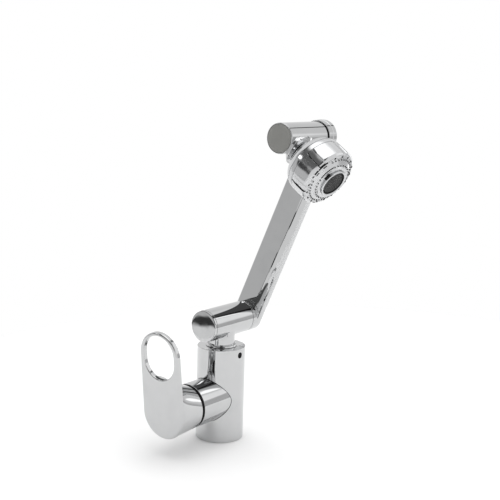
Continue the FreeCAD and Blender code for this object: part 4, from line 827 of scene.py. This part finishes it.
# lever: a leaning plate with a finger ring, on a round skirt that flares into it
lever = {"plate": 86.43, "thick": 5.0, "lean": 5.93, "foot": 24.0, "top": 23.2, "rise": 59.0,
         "edge": 1.8, "backEdge": 0.5, "ring": 18.5, "ringLow": 54.2, "ringRun": 6.2,
         "ringEdge": 1.1, "skirt": 21.86, "skirtFoot": 51.8, "skirtTop": 23.8, "skirtSteps": 14,
         "skirtRise": 11.0, "flare": 4.0, "hollow": 19.3, "hollowEnd": 69.8, "lip": 0.75,
         "lipRadius": 21.6}
plateBack = lever["plate"] - lever["thick"]
plate = turnPiece("leverPlate", [
    (lever["ring"], plateBack, lever["ringEdge"]),
    (lever["ring"], lever["plate"], lever["ringEdge"]),
    (lever["foot"], lever["plate"], lever["edge"]),
    (lever["foot"], plateBack, lever["backEdge"])], deckFrame, looped=True, sides=160, steps=5)
shrink = lever["top"] / lever["foot"]
for vert in plate.data.vertices:                         # outline and ring leave the circle
    inRing = sqrt(vert.co.x ** 2 + vert.co.y ** 2) < (lever["ring"] + 2) * mm
    upper = vert.co.x > hair
    if inRing:
        vert.co.x += (lever["ringLow"] + (lever["ringRun"] if upper else 0)) * mm
    elif upper:
        vert.co.x = vert.co.x * shrink + lever["rise"] * mm
        vert.co.y *= shrink
leanAbout = shift(0, 0, lever["plate"])
plate.data.transform(leanAbout @ Matrix.Rotation(radians(-lever["lean"]), 4, "Y")
                     @ leanAbout.inverted())
skirtLip = lever["skirtFoot"] + lever["lip"]
skirtEnd = lever["plate"] - lever["thick"] / 2
profile = [(lever["hollow"], lever["hollowEnd"]), (lever["hollow"], skirtLip, 0.1),
           (lever["skirt"], skirtLip, 0.25)]
for k in range(1, lever["skirtSteps"] + 1):
    part = k / lever["skirtSteps"]
    profile.append((lever["skirt"] + (lever["skirtTop"] - lever["skirt"]) * part,
                    skirtLip + (skirtEnd - skirtLip) * part))
skirt = turnPiece("leverSkirt", profile, deckFrame, sides=160)
for vert in skirt.data.vertices:                         # its top follows the plate's lean
    part = (vert.co.z / mm - skirtLip) / (skirtEnd - skirtLip)
    outer = sqrt(vert.co.x ** 2 + vert.co.y ** 2) > (lever["skirt"] - 0.6) * mm
    if outer and part > 0:
        if vert.co.x > hair:
            vert.co.x += (lever["skirtRise"] * part + lever["flare"] * part ** 6) * mm
        vert.co.z += vert.co.x * tan(radians(lever["lean"])) * part
combine(plate, skirt, "UNION")
setDown(plate, leverFrame)
plate.name = "leverHandle"
finishPiece(plate, "lever", "chrome", ["lever"])
lipRing = turnRing("leverLipRing", lever["hollow"] - 0.1, lever["lipRadius"], lever["skirtFoot"],
                   skirtLip + 0.05, leverFrame, edges=(0.2, 0))
finishPiece(lipRing, "lever", "rubber")
print("lever ready")

# floor, overhead light and the tent round the object
studio = {"floorTone": 0.92, "floorRadius": 0.55, "floorMiddle": (0.115, -0.096, 0),
          "overhead": 0.95, "spread": 120}
putDown()
bpy.ops.mesh.primitive_circle_add(vertices=128, radius=studio["floorRadius"], fill_type="NGON",
                                  location=studio["floorMiddle"])
floor = bpy.context.object
floor.name = "floor"
paper = bpy.data.materials.new("whitePaper")
paper.use_nodes = True
paperShader = paper.node_tree.nodes["Principled BSDF"]
paperShader.inputs["Base Color"].default_value = (*[studio["floorTone"]] * 3, 1)
paperShader.inputs["Roughness"].default_value = 0.9
paperShader.inputs["Specular IOR Level"].default_value = 0.1
floor.data.materials.append(paper)
overhead = bpy.data.lights.new("overhead", "SUN")
overhead.energy = studio["overhead"]
overhead.angle = radians(studio["spread"])
overheadLamp = bpy.data.objects.new("overhead", overhead)
overheadLamp.visible_glossy = False
bpy.context.collection.objects.link(overheadLamp)

# far parts of the tent: middle, half size and soft edge in degrees, then brightness
tentParts = {
    "farScreen": ((0, 18), (62, 20), (16, 8), 0.88),
    "rightScreen": ((-50, 28), (19, 19), (5, 6), 1.24),
    "seam": ((-6, 34), (2.4, 6), (0.8, 3), 0.05),
    "rightWall": ((-33, -5), (24, 5.5), (6, 4), 0.62),
    "leftWall": ((132, 3), (27, 16.6), (5, 0.8), 0.67),
    "darkWindow": ((141, 13), (12, 8), (4, 3), 0.06),
    "roomBehind": ((175, 43), (72, 22), (10, 6), 0.15),
    "slotLight": ((131, 30), (10, 4.5), (3, 2), 3.0),
    "tableEdge": ((142, -13.9), (22, 0.5), (3, 0.4), 0.04),
    "ceilingBox": ((0, 90), (180, 24), (1, 22), 1.9),
    "cameraFlag": ((-141, 27), (11, 20), (3, 4), 0.02),
}


def fadeOut(tree, value, half, soft):                    # 1 near nought, 0 past the half size
    faded = addNode(tree, "MapRange", {"Value": work(tree, "ABSOLUTE", value),
                                       "From Min": half + soft / 2, "From Max": half - soft / 2})
    faded.interpolation_type = "SMOOTHSTEP"
    return faded.outputs["Result"]


def hangTent(tree, parts):
    direction = addNode(tree, "TexCoord").outputs["Generated"]
    split = addNode(tree, "SeparateXYZ", {"Vector": direction})
    up = work(tree, "ARCSINE", split.outputs["Z"])
    glow = 1.0
    for (azimuth, elevation), (wide, tall), (softWide, softTall), tone in parts.values():
        turned = addNode(tree, "VectorRotate")
        turned.rotation_type = "Z_AXIS"
        turned.inputs["Angle"].default_value = radians(-azimuth)
        tree.links.new(direction, turned.inputs["Vector"])
        sides = addNode(tree, "SeparateXYZ", {"Vector": turned.outputs[0]})
        across = work(tree, "ARCTAN2", sides.outputs["Y"], sides.outputs["X"])
        off = work(tree, "SUBTRACT", up, radians(elevation))
        inside = work(tree, "MULTIPLY", fadeOut(tree, across, radians(wide), radians(softWide)),
                      fadeOut(tree, off, radians(tall), radians(softTall)))
        glow = blend(tree, inside, glow, tone)
    seen = addNode(tree, "LightPath").outputs["Is Camera Ray"]
    glow = blend(tree, seen, glow, 1.0)                  # the camera sees plain white
    backing = tree.nodes["Background"]
    backing.inputs["Color"].default_value = (1, 1, 1, 1)
    tree.links.new(glow, backing.inputs["Strength"])


tent = bpy.data.worlds.new("lightTent")
bpy.context.scene.world = tent
tent.use_nodes = True
hangTent(tent.node_tree, tentParts)

# near cards show only in reflections: place, azimuth, size in metres, soft share, brightness
cards = {
    "windowBox": ((0.336, -0.157, 0.257), -20, (0.1, 0.33), (0.15, 0.06), 1.75),
    "rightShelf": ((0.206, -0.336, 0.104), -42.3, (0.4, 0.14), (0.2, 0.3), 0.62),
}


def addCard(name, place, azimuth, size, soft, tone):
    putDown()
    bpy.ops.mesh.primitive_plane_add(size=1)
    card = bpy.context.object
    card.name = name
    card.scale = (*size, 1)
    card.rotation_euler = (radians(90), 0, radians(azimuth - 90))
    card.location = place
    board = bpy.data.materials.new(name)
    board.use_nodes = True
    tree = board.node_tree
    tree.nodes.remove(tree.nodes["Principled BSDF"])
    glow = addNode(tree, "Emission", {"Color": (1, 1, 1, 1), "Strength": tone})
    split = addNode(tree, "SeparateXYZ", {"Vector": addNode(tree, "TexCoord").outputs["Object"]})
    inside = work(tree, "MULTIPLY", fadeOut(tree, split.outputs["X"], 0.5 - soft[0] / 2, soft[0]),
                  fadeOut(tree, split.outputs["Y"], 0.5 - soft[1] / 2, soft[1]))
    both = addNode(tree, "MixShader", {"Fac": inside})
    tree.links.new(addNode(tree, "BsdfTransparent").outputs[0], both.inputs[1])
    tree.links.new(glow.outputs[0], both.inputs[2])
    tree.links.new(both.outputs[0], tree.nodes["Material Output"].inputs["Surface"])
    card.data.materials.append(board)
    card.visible_camera = False
    card.visible_diffuse = False
    card.visible_shadow = False
    card.visible_transmission = False


for name, settings in cards.items():
    addCard(name, *settings)

# the camera stands at the photograph's angle
view = {"place": (-0.74971, -0.60480, 0.36212), "lens": 71.597, "sensor": 36,
        "right": (0.61076, -0.79125, 0.02984), "forward": (0.78266, 0.59756, -0.17424)}
camera = bpy.data.cameras.new("camera")
camera.lens = view["lens"]
camera.sensor_width = view["sensor"]
camera.sensor_fit = "HORIZONTAL"
eye = bpy.data.objects.new("camera", camera)
right, ahead = Vector(view["right"]), Vector(view["forward"])
turn = Matrix((right, right.cross(ahead), -ahead)).transposed().to_4x4()
eye.matrix_world = Matrix.Translation(view["place"]) @ turn
bpy.context.collection.objects.link(eye)
bpy.context.scene.camera = eye
bpy.context.scene.view_settings.view_transform = "Standard"

print("scene ready")
